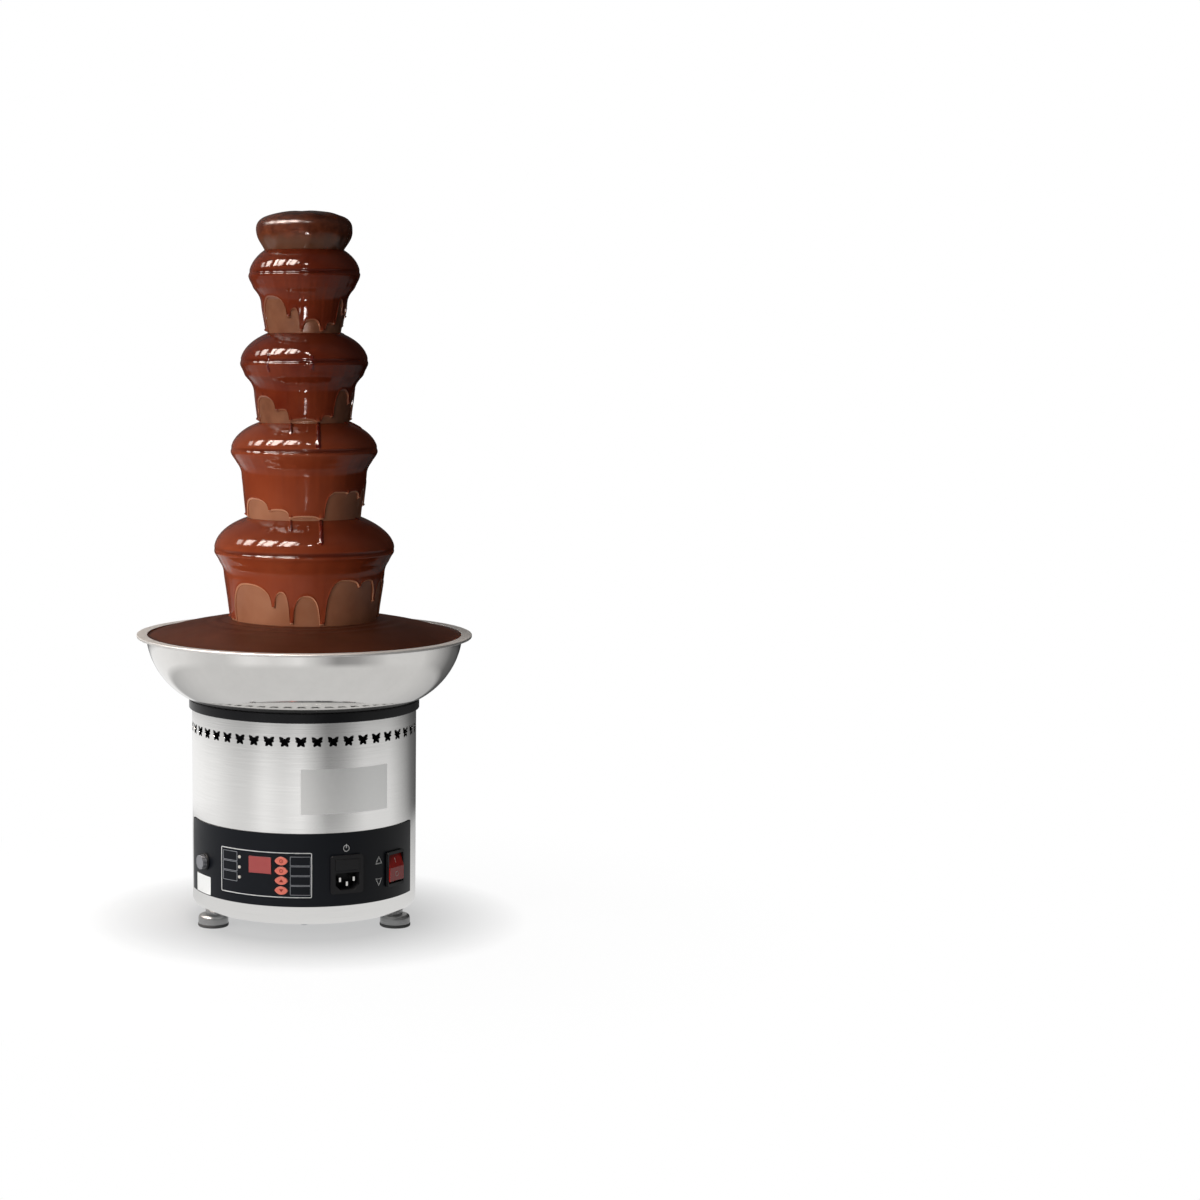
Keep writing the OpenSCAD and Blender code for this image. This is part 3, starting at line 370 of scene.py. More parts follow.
def dress(tree, skin, colour, noise, rough, relief, strength):
    """Gives the shader a colour, and a gloss and a relief in mm that follow a noise."""
    tree.links.new(colour, skin.inputs["Base Color"])
    tree.links.new(mapped(tree, noise, 0.0, 1.0, *rough), skin.inputs["Roughness"])
    if relief:
        inputs = {"Height": noise, "Strength": strength, "Distance": relief * MM}
        bump = add_node(tree, "ShaderNodeBump", inputs)
        tree.links.new(bump.outputs[0], skin.inputs["Normal"])


def finish(name, colours, grain, rough, relief=0.0, stretch=(1, 1, 1), metal=0.0, specular=0.5,
           clear=0.0):
    """colours: two tones that the grain mixes; grain and relief: their sizes in mm."""
    material, tree, skin, place = new_skin(name)
    along = add_node(tree, "ShaderNodeMapping", {"Vector": place, "Scale": stretch}).outputs[0]
    noise = speckle(tree, along, grain, 4.0, 0.6)
    colour = mixed(tree, noise, *map(linear, colours))
    dress(tree, skin, colour, noise, rough, relief, 1.0)
    skin.inputs["Metallic"].default_value = metal
    skin.inputs["Specular IOR Level"].default_value = specular
    skin.inputs["Transmission Weight"].default_value = clear
    return material


print("grain helpers: noise, relief, finish")

# %% Plain finishes
# Satin stainless sheet, brushed round the drum: fine level lines, so highlights stand upright
satin_steel = finish("satin_stainless_sheet", ("#f6f5f3", "#eeedeb"), 1.2, (0.15, 0.22), 0.012,
                     (0.03, 0.03, 1), metal=1.0)
# Zinc plated steel: dull and slightly blue, with cloudy spangle
zinc = finish("zinc_plated_steel", ("#a9adb0", "#c2c5c6"), 6, (0.3, 0.45), metal=1.0)
# Polished stainless: a mirror with the faint haze of use
polished = finish("polished_stainless", ("#e4e2df", "#dad8d5"), 18, (0.06, 0.12), metal=1.0)
# The rim of the bowl, dulled by handling: scattered light, hardly any mirror
satin_rim = finish("satin_stainless_rim", ("#d6d4d1", "#e0deda"), 4, (0.38, 0.5), metal=0.55)
# Black gloss ABS: deep black under a smooth skin
black_gloss = finish("gloss_black_abs", ("#0c0c0e", "#121214"), 9, (0.14, 0.24), specular=0.3)
# Printed polycarbonate panel: black behind a clear, slightly dull face
panel_black = finish("black_polycarbonate_panel", ("#0b0e13", "#0f1218"), 12, (0.3, 0.42),
                     specular=0.18)
# Moulded black nylon: fine spark-eroded grain
black_plastic = finish("moulded_black_nylon", ("#121214", "#19191b"), 0.6, (0.42, 0.58), 0.02,
                       specular=0.3)
# Moulded grey thermoset of the fuse cap
grey_plastic = finish("moulded_grey_thermoset", ("#77777b", "#88888c"), 0.8, (0.35, 0.5), 0.02)
# Rubber: dull, with a dusty bloom
rubber = finish("black_rubber", ("#363636", "#444444"), 1.5, (0.6, 0.8), 0.03)
# Turned steel of the feet: grey, with level tool marks drawn a little coarser than they are
turned_steel = finish("turned_steel_foot", ("#6f6f6f", "#b4b4b4"), 0.9, (0.3, 0.45), 0.05,
                      (0.05, 0.05, 1), metal=0.7)
# Machined brass: fine turning lines
brass = finish("machined_brass", ("#b8924a", "#c9a55c"), 0.5, (0.2, 0.34), 0.0, (0.1, 0.1, 1),
               metal=1.0)
# Cast aluminium heater plate: matt and slightly pitted
cast_aluminium = finish("cast_aluminium", ("#b5b6b8", "#c6c7c9"), 2.0, (0.42, 0.58), 0.05,
                        metal=1.0)
# Solder mask on glass fibre: dark green lacquer
solder_mask = finish("green_solder_mask", ("#0e4a26", "#17602f"), 1.0, (0.3, 0.45), 0.01)
# Tinted acrylic display window, unlit: muted red
display_red = finish("tinted_red_acrylic", ("#a04a48", "#ac5654"), 14, (0.25, 0.35), specular=0.25)
# Clear lamp domes, unlit
lamp_clear = finish("clear_lamp_epoxy", ("#c9c2b8", "#d6d0c6"), 2, (0.1, 0.18))
# White print, and the off-white nylon gear: slightly dull
white_print = finish("white_screen_ink", ("#cfcfcd", "#dadad8"), 3, (0.45, 0.6))
# Grey print of the boxes
grey_print = finish("grey_screen_ink", ("#7e8084", "#8c8e92"), 3, (0.45, 0.6))
# Translucent red rocker: strong gloss red
switch_red = finish("gloss_red_polycarbonate", ("#c01a14", "#d0241a"), 8, (0.14, 0.22))
# Silicone rubber keys: salmon red, satin
key_coral = finish("coral_silicone", ("#e0705e", "#e88270"), 3, (0.35, 0.48), 0.01)
# Print on the keys and on the rocker
key_ink = finish("dark_red_ink", ("#8a1a14", "#9a241c"), 2, (0.4, 0.55))
rocker_ink = finish("pale_rose_ink", ("#f0b8ae", "#f6c8c0"), 2, (0.4, 0.55))
# White paper sticker and bare satin label film
sticker_white = finish("white_paper_sticker", ("#e9e9e7", "#f3f3f1"), 4, (0.5, 0.65), 0.01)
label_film = finish("silver_label_film", ("#f0f0ee", "#f6f6f4"), 5, (0.32, 0.42), metal=0.9)
# Clear glass tube of the fuse
fuse_glass = finish("fuse_glass", ("#dfe6e6", "#e8eeee"), 4, (0.03, 0.06), clear=0.9)
print("plain finishes:", len(bpy.data.materials))

# %% [markdown]
# Melted chocolate is a thick, wet, brown gloss. The running glaze is red-brown and mirrors the
# lamps sharply. Where the glaze has run off, a thin film stays behind: paler and duller, like milk
# chocolate that begins to set. The pool in the bowl is given a darker colour.


# %% Chocolate
# The colour of the shade painted into the glaze along the creases under the rims
PAINTED_CREASE_SHADE = "#421006"
# Half the width in mm of the painted shade line along a crease: where it is full, and where it ends
CREASE_FULL, CREASE_END = 0.6, 3.0
# How far the veil's edge wanders, and the height of the ripples, in mm
VEIL_WANDER, RIPPLE = 9, 0.35


def paint_crease_shade(tree, place, colour, creases):
    """Paints shade into a colour along creases, most at the front and back, where the creases
    themselves are deepest.
    """
    level = add_node(tree, "ShaderNodeVectorMath", {0: place, 1: (1, 1, 0)}, operation="MULTIPLY")
    facing = add_node(tree, "ShaderNodeVectorMath", {0: level.outputs[0]}, operation="NORMALIZE")
    ahead = maths(tree, "ABSOLUTE", axis_of(tree, facing.outputs[0], "Y"))
    full = mapped(tree, ahead, 0.25, 0.8, 0.0, 0.72)
    for height in creases:
        off = maths(tree, "SUBTRACT", axis_of(tree, place, "Z"), height * MM)
        # deep: how much painted shade falls at this height
        deep = mapped(tree, maths(tree, "ABSOLUTE", off), CREASE_FULL * MM, CREASE_END * MM,
                      full, 0.0, interpolation_type="SMOOTHSTEP")
        colour = mixed(tree, deep, colour, linear(PAINTED_CREASE_SHADE))
    return colour


def chocolate(name, colours, patch, rough, ripple, specular, veil=None, creases=()):
    """colours: the deep tone and the light tone; patch and ripple: their sizes in mm.
    veil: a colour that shows through below the second of two heights in mm.
    creases: heights in mm of creases, along which shade is painted into the colour."""
    material, tree, skin, place = new_skin(name)
    tone = speckle(tree, place, patch, 3.0)
    colour = mixed(tree, mapped(tree, tone, 0.3, 0.7), *map(linear, colours))
    if creases:
        colour = paint_crease_shade(tree, place, colour, creases)
    if veil:
        tint, low, high = veil
        wander = maths(tree, "MULTIPLY_ADD", tone, VEIL_WANDER * MM, axis_of(tree, place, "Z"))
        thin = mapped(tree, wander, low * MM, high * MM, 1.0, 0.0)
        colour = mixed(tree, thin, colour, linear(tint))
    waves = speckle(tree, place, ripple, 4.0)
    dress(tree, skin, colour, waves, rough, RIPPLE, 0.3)
    skin.inputs["Specular IOR Level"].default_value = specular
    return material


# A pale painted highlight along the glaze's rounded edge, for the light that the edge catches
glaze_edge_highlight = chocolate("painted_edge_highlight", ("#b87c5e", "#c68c6c"), 20, (0.12, 0.2), 9, 0.12)
# On the upper tiers the painted edge highlight is less pale
edge_highlight_upper = chocolate("painted_edge_highlight_upper", ("#84503a", "#925c44"), 20, (0.12, 0.2), 9, 0.12)
# A drip that runs over a dome is thicker, and darker for it
thick_run = chocolate("thick_chocolate_run", ("#551006", "#64160a"), 40, (0.09, 0.15), 14, 0.25)
# The film that stays behind under the arches
film_left = chocolate("thin_chocolate_film", ("#89553b", "#99654a"), 30, (0.3, 0.42), 9, 0.2)
# On the upper tiers more chocolate is left behind, so the film is darker
film_upper = chocolate("thicker_chocolate_film", ("#6c402b", "#7f5139"), 14, (0.28, 0.4), 9, 0.2)
# The pool: chocolate of a darker tone, with a dull skin
pool_dark = chocolate("pooled_chocolate", ("#5c2d18", "#6e3a26"), 50, (0.3, 0.42), 24, 0.08)
print("chocolate: edges, thick runs, thin film, pool")

# %% [markdown]
# ## Pieces
# A CAD mesh is loose triangles. For a piece whose curved faces mirror the room, a copy is
# merged so that shading runs smoothly across it, and a narrow bevel catches light on the edges
# that a mould or a press would round. The copy stands for the CAD node and moves with its body.


# %% Piece helpers
# Points nearer than this many mm are one; faces within this angle are one flat face
MERGE, FLAT = 0.002, math.radians(0.5)


def add_piece(name, bm, materials, body, stands_for=(), sharp=35):
    """Adds a mesh that rides on a body; edges over the sharp angle in degrees stay crisp."""
    mesh = bpy.data.meshes.new(name)
    bm.to_mesh(mesh)
    bm.free()
    for material in materials:
        mesh.materials.append(material)
    mesh.shade_smooth()
    mesh.set_sharp_from_angle(angle=math.radians(sharp))
    piece = bpy.data.objects.new(name, mesh)
    scene.collection.objects.link(piece)
    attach(piece, body)
    if stands_for:
        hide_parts(*stands_for)
    return piece


def round_edges(piece, width):
    """Rounds a piece's sharp edges to a width in mm."""
    rounding = piece.modifiers.new("edge_rounding", "BEVEL")
    rounding.width = width * MM
    rounding.segments = 3
    rounding.limit_method = "ANGLE"
    rounding.angle_limit = math.radians(40)


def smooth_copy(node, material, bevel=0.0):
    """A merged copy of a CAD node; bevel is the width in mm of the rounding on its edges."""
    bm = bmesh.new()
    bm.from_mesh(frame["nodes"][node].data)
    bmesh.ops.remove_doubles(bm, verts=bm.verts, dist=MERGE * MM)
    if bevel:
        bmesh.ops.dissolve_limit(bm, angle_limit=FLAT, verts=bm.verts, edges=bm.edges)
    for face in bm.faces:
        face.material_index = 0
    body = frame["nodes"][node]["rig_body"]
    piece = add_piece(node + "_dressed", bm, [material], body, [node])
    if bevel:
        round_edges(piece, bevel)
    return piece


def round_normals(piece, radius):
    """Points the normals of a drum's outer faces straight out, which long thin triangles blur."""
    mesh = piece.data
    normals = [Vector((0, 0, 0))] * len(mesh.loops)
    for face in mesh.polygons:
        out = Vector((face.center.x, face.center.y, 0)).normalized()
        if abs(face.normal.z) < 0.02 and face.normal.dot(out) > 0.99:
            for loop in face.loop_indices:
                co = mesh.vertices[mesh.loops[loop].vertex_index].co
                if abs(math.hypot(co.x, co.y) - radius * MM) < 0.05 * MM:
                    normals[loop] = Vector((co.x, co.y, 0)).normalized()
    mesh.normals_split_custom_set(normals)


def paint(node, material):
    """Gives a CAD node that keeps its own mesh a finish."""
    data = frame["nodes"][node].data
    data.materials.clear()
    data.materials.append(material)


# %% Inner and small pieces keep their CAD meshes
plain = {
    black_gloss: ["deck_pan"],
    zinc: ["bottom_plate", "bottom_screws", "gear_plate_upper", "gear_plate_lower", "gear_pillars",
           "idler_pin", "motor_can", "motor_rotor", "drive_shaft", "heater_element"],
    polished: ["locating_pins", "seal_housing", "inlet_pins", "tower_tube", "top_cup",
               *[f"tier_dish_{k}" for k in range(1, 5)], "auger_shaft", "auger_flight"],
    brass: ["seal_nut", "output_gear", "motor_pinion"],
    black_plastic: ["thermal_cutout", "display_module"],
    rubber: ["shaft_seal"],
    cast_aluminium: ["heater_plate"],
    solder_mask: ["control_board"],
    lamp_clear: ["indicator_lamps"],
    white_print: ["idler_gear"],
    fuse_glass: ["drawer_fuse"],
}
for material, nodes in plain.items():
    for node in nodes:
        paint(node, material)
print("painted:", sum(len(nodes) for nodes in plain.values()), "nodes")

# %% Base, ring, feet and controls
# Outer radii of the base and the panel in mm
BASE_R, PANEL_R = 110, 111.2
round_normals(smooth_copy("base_shell", satin_steel), BASE_R)
smooth_copy("bowl_ring", black_gloss, 0.6)
round_normals(smooth_copy("control_panel", panel_black), PANEL_R)
for side in ("left", "right", "rear"):
    smooth_copy("foot_" + side, turned_steel, 0.3)
    smooth_copy("foot_pad_" + side, rubber, 0.3)
for node, width in [("power_inlet", 0.35), ("fuse_drawer", 0.25), ("switch_frame", 0.35),
                    ("fuse_holder", 0.3)]:
    smooth_copy(node, black_plastic, width)
smooth_copy("fuse_cap", grey_plastic, 0.35)
smooth_copy("rocker", switch_red, 0.5)
smooth_copy("display_lens", display_red, 0.15)
for k in range(1, 5):
    smooth_copy(f"key_{k}", key_coral, 0.35)

# %% [markdown]
# ## The bowl
# A spun steel bowl is exactly what the spin operator makes: half of its section, turned once
# round the axis. A spin gives evenly spaced faces, so the mirror finish shows no facets. One
# eighth is spun and then copied three times, each copy doubling it, which is quicker than a
# whole turn.


# %% Spin helper and bowl
def arc(centre, radius, start, end, count):
    """Points of (radius, height) on an arc, angles in degrees from the outward direction."""
    turns = [math.radians(start + (end - start) * i / count) for i in range(count + 1)]
    return [(centre[0] + radius * math.cos(a), centre[1] + radius * math.sin(a)) for a in turns]


SECTORS = 8


def spun(section, steps, closed=True):
    """Turns a section of (radius, height) in mm round Z; each vertex keeps its row number.
    An open section begins and ends on the axis."""
    bm = bmesh.new()
    row = bm.verts.layers.int.new("row")
    verts = []
    for k, (radius, height) in enumerate(section):
        vert = bm.verts.new((0, -radius * MM, height * MM))
        vert[row] = k
        verts.append(vert)
    pairs = list(zip(verts, verts[1:])) + ([(verts[-1], verts[0])] if closed else [])
    edges = [bm.edges.new(pair) for pair in pairs]
    bmesh.ops.spin(bm, geom=verts + edges, cent=(0, 0, 0), axis=(0, 0, 1), dvec=(0, 0, 0),
                   angle=2 * math.pi / SECTORS, steps=steps // SECTORS)
    made = 1
    while made < SECTORS:
        copied = bmesh.ops.duplicate(bm, geom=bm.verts[:] + bm.edges[:] + bm.faces[:])["geom"]
        moved = [part for part in copied if isinstance(part, bmesh.types.BMVert)]
        turn = Matrix.Rotation(2 * math.pi * made / SECTORS, 3, "Z")
        bmesh.ops.rotate(bm, verts=moved, cent=(0, 0, 0), matrix=turn)
        made *= 2
    bmesh.ops.remove_doubles(bm, verts=bm.verts, dist=MERGE * MM)
    bmesh.ops.recalc_face_normals(bm, faces=bm.faces)
    return bm


# The bowl's floor, the radius of its wall's curve and its sheet, in mm
BOWL_Z, BOWL_R, BOWL_T = 212.5, 75, 1.2
BOWL_CENTRE = (80, BOWL_Z + BOWL_R)
BOWL_TOP, RIM_R, RIM_LIP = BOWL_Z + 70, 163.94, 2.4
BOWL_BORE = 12.2
outer_end = math.degrees(math.asin((BOWL_TOP - BOWL_T - BOWL_CENTRE[1]) / BOWL_R))
inner_end = math.degrees(math.asin((BOWL_TOP - BOWL_CENTRE[1]) / (BOWL_R - BOWL_T)))
section = ([(BOWL_BORE, BOWL_Z + BOWL_T), (BOWL_BORE, BOWL_Z)]
           + arc(BOWL_CENTRE, BOWL_R, -90, outer_end, 40)
           + [(RIM_R - BOWL_T, BOWL_TOP - BOWL_T), (RIM_R - BOWL_T, BOWL_TOP - RIM_LIP),
              (RIM_R, BOWL_TOP - RIM_LIP), (RIM_R, BOWL_TOP)]
           + arc(BOWL_CENTRE, BOWL_R - BOWL_T, inner_end, -90, 40))
bm = spun(section, 256)
for face in bm.faces:
    if min(vert.co.z for vert in face.verts) > (BOWL_TOP - RIM_LIP - 0.1) * MM:
        face.material_index = 1
bowl = add_piece("bowl_spun", bm, [polished, satin_rim], "base", ["bowl"])
round_edges(bowl, 0.5)
print("bowl:", len(bowl.data.polygons), "faces")

# %% [markdown]
# ## Running chocolate
# Each tier is a dome of glaze that rolls over the dish's rim and falls as a curtain. The glaze
# ends in round arches and drips, and below them only the thin film is left. The shape starts as
# a spin of the tier's section, with rows that follow the edge of the glaze: every row is then
# moved along the section to where the edge is at its angle, and out by the glaze's thickness.
# That keeps the edge crisp, where a displacement texture would blur it.

# %% Sizes of the tiers
# In mm, from the lowest tier up: radius and height of each rim, the dome's rise above it, the
# waist below it, and the radius at which the curtain lands
TIERS = 4
TIER_RIM = [88, 71.4, 62, 53.8]
POOL_Z = BOWL_TOP + 14.5
TIER_STEP = [68.5, 95.5, 85, 83.5]
TIER_Z = [POOL_Z + sum(TIER_STEP[:i + 1]) for i in range(TIERS)]
TIER_RISE = [40, 35.2, 35, 34.9]
WAIST_R = [77.3, 59.8, 47.4, 40.4]
WAIST_DROP = [25, 24, 31, 29]
LAND_R = [71, 55.4, 43.8, 35.6]
CROWN_R, CROWN_Z, CROWN_RISE, CROWN_LAND = 46.5, TIER_Z[3] + 43.5, 18, 38.4
# How far the crease lies below each rim, and the thickness of a flow
RIM_CREASE = [-0.5, -2.5, -2.5, -3.5]
FILM = 2.4
TURNS = 560  # columns round a tier
crease_z = [z - drop for z, drop in zip(TIER_Z, RIM_CREASE)]
# The running glaze, with painted shade along the creases
glaze = chocolate("running_chocolate_glaze", ("#7a3119", "#8a3f25"), 60, (0.05, 0.09), 11, 0.12,
                  creases=crease_z[:2])
# The upper tiers' glaze is darker, and shade is painted along their creases too
glaze_upper = chocolate("darker_chocolate_glaze", ("#602010", "#74301a"), 40, (0.05, 0.1), 9, 0.12,
                        creases=crease_z[2:])
print("creases at", [round(z, 1) for z in crease_z], "mm")


# %% Curves of the tiers
def dome_z(i, r):
    """The height of a tier's dome at a radius."""
    return TIER_Z[i] + TIER_RISE[i] * math.sqrt(1 - (r / TIER_RIM[i]) ** 2)


def dome_spot(i, value):
    """The radius and height of a dome at an angle from its top."""
    return TIER_RIM[i] * math.sin(value), TIER_Z[i] + TIER_RISE[i] * math.cos(value)


def bezier(a, b, c, d, t):
    """A point on a curve from a to d that leaves towards b and arrives from c."""
    s = 1 - t
    return tuple(a[k] * s ** 3 + 3 * b[k] * t * s ** 2 + 3 * c[k] * t ** 2 * s + d[k] * t ** 3
                 for k in (0, 1))


def hump(distance, width):
    """One in the middle, falling smoothly to nothing within about two widths."""
    return math.exp(-(distance / width) ** 2)


def bead(across, over, width):
    """The height of a rounded drip of height one, at a distance from its middle or its end."""
    gap = math.hypot(across, over) / width
    return math.sqrt(1 - gap ** 2) if gap < 1 else 0.0


class Curtain:
    """The fall of a tier from its rim to where it lands, measured from 0 to 1 along it."""

    def __init__(self, i):
        r, z, waist, drop = TIER_RIM[i], TIER_Z[i], WAIST_R[i], WAIST_DROP[i]
        land = (LAND_R[i], POOL_Z if i == 0 else dome_z(i - 1, LAND_R[i]))
        ends = (r, z), (r, z - 0.5 * drop), (waist + 0.1, z - 0.4 * drop), (waist, z - drop)
        path = [bezier(*ends, k / 40) for k in range(41)]
        foot = path[-1]
        path += [tuple(foot[j] + (land[j] - foot[j]) * k / 20 for j in (0, 1))
                 for k in range(1, 21)]
        self.path = path
        self.at = [0.0]
        for p, q in zip(path, path[1:]):
            self.at.append(self.at[-1] + math.dist(p, q))
        self.length = self.at[-1]

    def point(self, t):
        """The radius and height at a share of the fall."""
        s = min(max(t, 0.0), 1.0) * self.length
        high = min(bisect.bisect_right(self.at, s), len(self.at) - 1)
        low = high - 1
        share = (s - self.at[low]) / (self.at[high] - self.at[low])
        p, q = self.path[low], self.path[high]
        return tuple(p[j] + (q[j] - p[j]) * share for j in (0, 1))


falls = [Curtain(i) for i in range(TIERS)]
print("falls:", [round(fall.length) for fall in falls], "mm")

# %% Drips and arches
# Drips at the front: how far down they reach, half width in mm, run over the dome below
FRONT_DRIPS = [(1.0, 2.0, 0), (0.76, 1.5, 0), (0.97, 1.6, 19), (1.0, 2.4, 36), (0.5, 1.4, 0),
               (0.72, 1.6, 4)]
# Their angles from the front on each tier
FRONT_TURNS = [[-66, -23, -9.5, 13.4, 43, 62], [-76, -35, -13, 17, 45, 64],
               [-76, -34, -16.5, 18, 35, 64], [-76, -22, -4, 28, 48, 66]]
# How far down the glaze reaches at the top of the arch that follows each of those drips
FRONT_ARCHES = [[0.46, 0.55, 0.60, 0.40, 0.42, 0.45], [0.72, 0.86, 0.95, 0.62, 0.62, 0.60],
                [0.60, 0.80, 0.95, 0.90, 0.50, 0.55], [0.42, 0.62, 0.80, 0.86, 0.48, 0.55]]
# How square the arches are, the glaze's thickness in mm, and how far down it may reach
ARCH_POWER = 2.4
GLAZE_T = 1.1
LOWEST = 0.985
random.seed(11)


def drips_of(i):
    """The drips of a tier round the whole turn, each with the arch that follows it."""
    arches = FRONT_ARCHES[i]
    drips = []
    for k, (end, half, run) in enumerate(FRONT_DRIPS):
        lowest = max(arches[k - 1] if k else 0.0, arches[k])
        drips.append((FRONT_TURNS[i][k], max(end, lowest + 0.02), half,
                      run if i < TIERS - 1 else 0, arches[k]))
    angle = 82.0
    while angle < 255:
        drips.append((angle, random.uniform(0.75, 0.99), random.uniform(1.4, 2.4),
                      random.choice([0, 0, 6, 14]), random.uniform(0.45, 0.65)))
        angle += random.uniform(15, 27)
    # The last stretch, up to the first drip, is covered right down
    drips.append((270.0, 1.0, 2.0, 0, 1.0))
    return drips


def turn_between(a, b):
    """The angle from b to a the shorter way, in degrees."""
    return (a - b + 180) % 360 - 180


def glaze_reach(angle, drips, radius):
    """How far down the glaze comes at an angle, and how near a drip's middle that is."""
    place = (angle - drips[0][0]) % 360
    starts = [(drip[0] - drips[0][0]) % 360 for drip in drips] + [360.0]
    k = bisect.bisect_right(starts, place) - 1
    left, right = drips[k], drips[(k + 1) % len(drips)]
    from_left = math.radians(place - starts[k]) * radius
    from_right = math.radians(starts[k + 1] - place) * radius
    nearest, gap = (left, from_left) if from_left < from_right else (right, from_right)
    end, half = nearest[1], nearest[2]
    if gap < half:
        return min(end, LOWEST), 1 - (gap / half) ** 2
    span = (from_left + from_right - left[2] - right[2]) / 2
    across = min(1.0, max(0.0, 1 - (gap - half) / span))
    arch = left[4]
    fall = 1 - (1 - across ** ARCH_POWER) ** (1 / ARCH_POWER)
    return min(arch + max(0.0, end - arch) * fall, LOWEST), 0.0


def column_angles(drips):
    """The angles of a tier's columns, closer together where a drip hangs."""
    fine = [0.25 * k - 180 for k in range(1441)]
    total = [0.0]
    for angle in fine[1:]:
        crowd = sum(hump(turn_between(angle, drip[0]), 4) for drip in drips)
        total.append(total[-1] + 0.45 + crowd)
    angles = []
    for n in range(TURNS):
        goal = total[-1] * n / TURNS
        k = max(bisect.bisect_left(total, goal) - 1, 0)
        angles.append(fine[k] + 0.25 * (goal - total[k]) / (total[k + 1] - total[k]))
    return angles


RUN_T = 1.1


def run_relief(angle, along, radius, start_r, drips):
    """Relief on a dome from the drips of the tier above, at a distance along the dome."""
    best = 0.0
    for place, _, half, run, _ in drips:
        if run:
            # Runs at the front hang straight down in the picture, so they turn as the dome widens
            middle = place * start_r / radius if abs(place) < 40 else place
            across = abs(math.radians(turn_between(angle, middle))) * radius
            width = 0.75 * half + 0.8 * hump(along - run, 4)
            over = max(0.0, along - (run - width))
            best = max(best, RUN_T * bead(across, over, width))
    return best


print("drips on the lowest tier:", len(drips_of(0)))

# %% Sections of the tiers
# Rows of a tier's section from the top down; those of the edge by their distance from it in mm
DOME_ROWS = 34
FALL_ROWS = 34
EDGE = [3.2, 2.4, 1.7, 1.15, 0.7, 0.35, 0.12, 0.0]
FILM_ROWS = 12
all_drips = [drips_of(i) for i in range(TIERS)]
above = all_drips[1:] + [[]]


def tier_section(i):
    """The closed section of a tier with the glaze at half reach, and a label for each row."""
    neck = (LAND_R + [CROWN_LAND])[i + 1]
    start = math.asin(neck / TIER_RIM[i])
    inner_r, inner_rise = TIER_RIM[i] - FILM, TIER_RISE[i] - FILM
    stop = math.acos((dome_z(i, neck) - TIER_Z[i]) / inner_rise)
    quarter = math.pi / 2
    rows = [("dome", start + (quarter - start) * k / DOME_ROWS) for k in range(DOME_ROWS)]
    rows += [("fall", k / FALL_ROWS) for k in range(FALL_ROWS)]
    rows += [("edge", gap) for gap in EDGE]
    rows += [("film", k / FILM_ROWS) for k in range(1, FILM_ROWS + 1)]
    rows += [("inside", k / 10) for k in range(10, -1, -1)]
    rows += [("under", quarter + (stop - quarter) * k / 8) for k in range(1, 9)]
    points = [dome_spot(i, value) for _, value in rows[:DOME_ROWS]]
    for kind, value in rows[DOME_ROWS:]:
        if kind == "under":
            points.append((inner_r * math.sin(value), TIER_Z[i] + inner_rise * math.cos(value)))
        elif kind == "inside":
            r, z = falls[i].point(value)
            points.append((r - FILM, z))
        else:
            t = {"fall": 0.45 * value, "edge": 0.5 - value / falls[i].length,
                 "film": 0.5 + 0.5 * value}[kind]
            points.append(falls[i].point(t))
    return points, rows, start


print("drips by tier:", [len(drips) for drips in all_drips])

# %% Relief of the glaze
# Depth or height and width of the crease, the lip and the tuck, and how far down they lie
CREASE_T, LIP_T, CREASE_W, LIP_DROP = 1.8, 0.9, 1.5, 3.8
TUCK_T, TUCK_W, TUCK_DROP = 1.5, 4.5, 8


def rim_groove(i, drop, angle):
    """The relief of crease, lip and tuck at a rim in mm; crease and lip fade at the sides."""
    below = drop - RIM_CREASE[i]
    crease = CREASE_T * hump(below, CREASE_W)
    lip = LIP_T * hump(below - LIP_DROP, CREASE_W)
    tuck = TUCK_T * hump(drop - TUCK_DROP, TUCK_W) if drop > 0 else 0.0
    return (lip - crease) * (0.25 + 0.75 * math.cos(math.radians(angle)) ** 2) - tuck


# Thick drips that hang over a rim: tier, angle, how far above and below the rim, half width
HANGING = [(2, -34, 8, 8, 1.4), (2, 7, 7, 7, 1.4)]
HANGING_T = 1.2


def hanging(i, drop, angle):
    """Relief of the drips that hang over a rim."""
    best = 0.0
    for tier, place, start, end, half in HANGING:
        if tier == i and -start < drop < end:
            across = abs(math.radians(turn_between(angle, place))) * TIER_RIM[i]
            width = half * (0.7 + 0.5 * hump(drop - end + 2, 2.5))
            over = max(0.0, drop - (end - width))
            best = max(best, HANGING_T * bead(across, over, width))
    return best


def fold(angle):
    """Slow upright folds in a curtain, in mm."""
    turn = math.radians(angle)
    return (0.16 * math.sin(11 * turn + 0.7) + 0.1 * math.sin(29 * turn)
            + 0.06 * math.sin(53 * turn + 1.9))


def dome_point(i, value, angle, start):
    """A point on a tier's dome with the runs from above, and the height of the run there."""
    r, z = dome_spot(i, value)
    top_r, top_z = dome_spot(i, start)
    out = Vector((r / TIER_RIM[i] ** 2, (z - TIER_Z[i]) / TIER_RISE[i] ** 2)).normalized()
    along = math.hypot(r - top_r, top_z - z)
    drop = TIER_Z[i] - z
    run = max(run_relief(angle, along, r, top_r, above[i]), hanging(i, drop, angle))
    swell = 0.35 * math.sin(3 * math.radians(angle) + i) * math.sin(math.pi * along / 40)
    rise = run + swell + rim_groove(i, drop, angle)
    return r + rise * out[0], z + rise * out[1], run


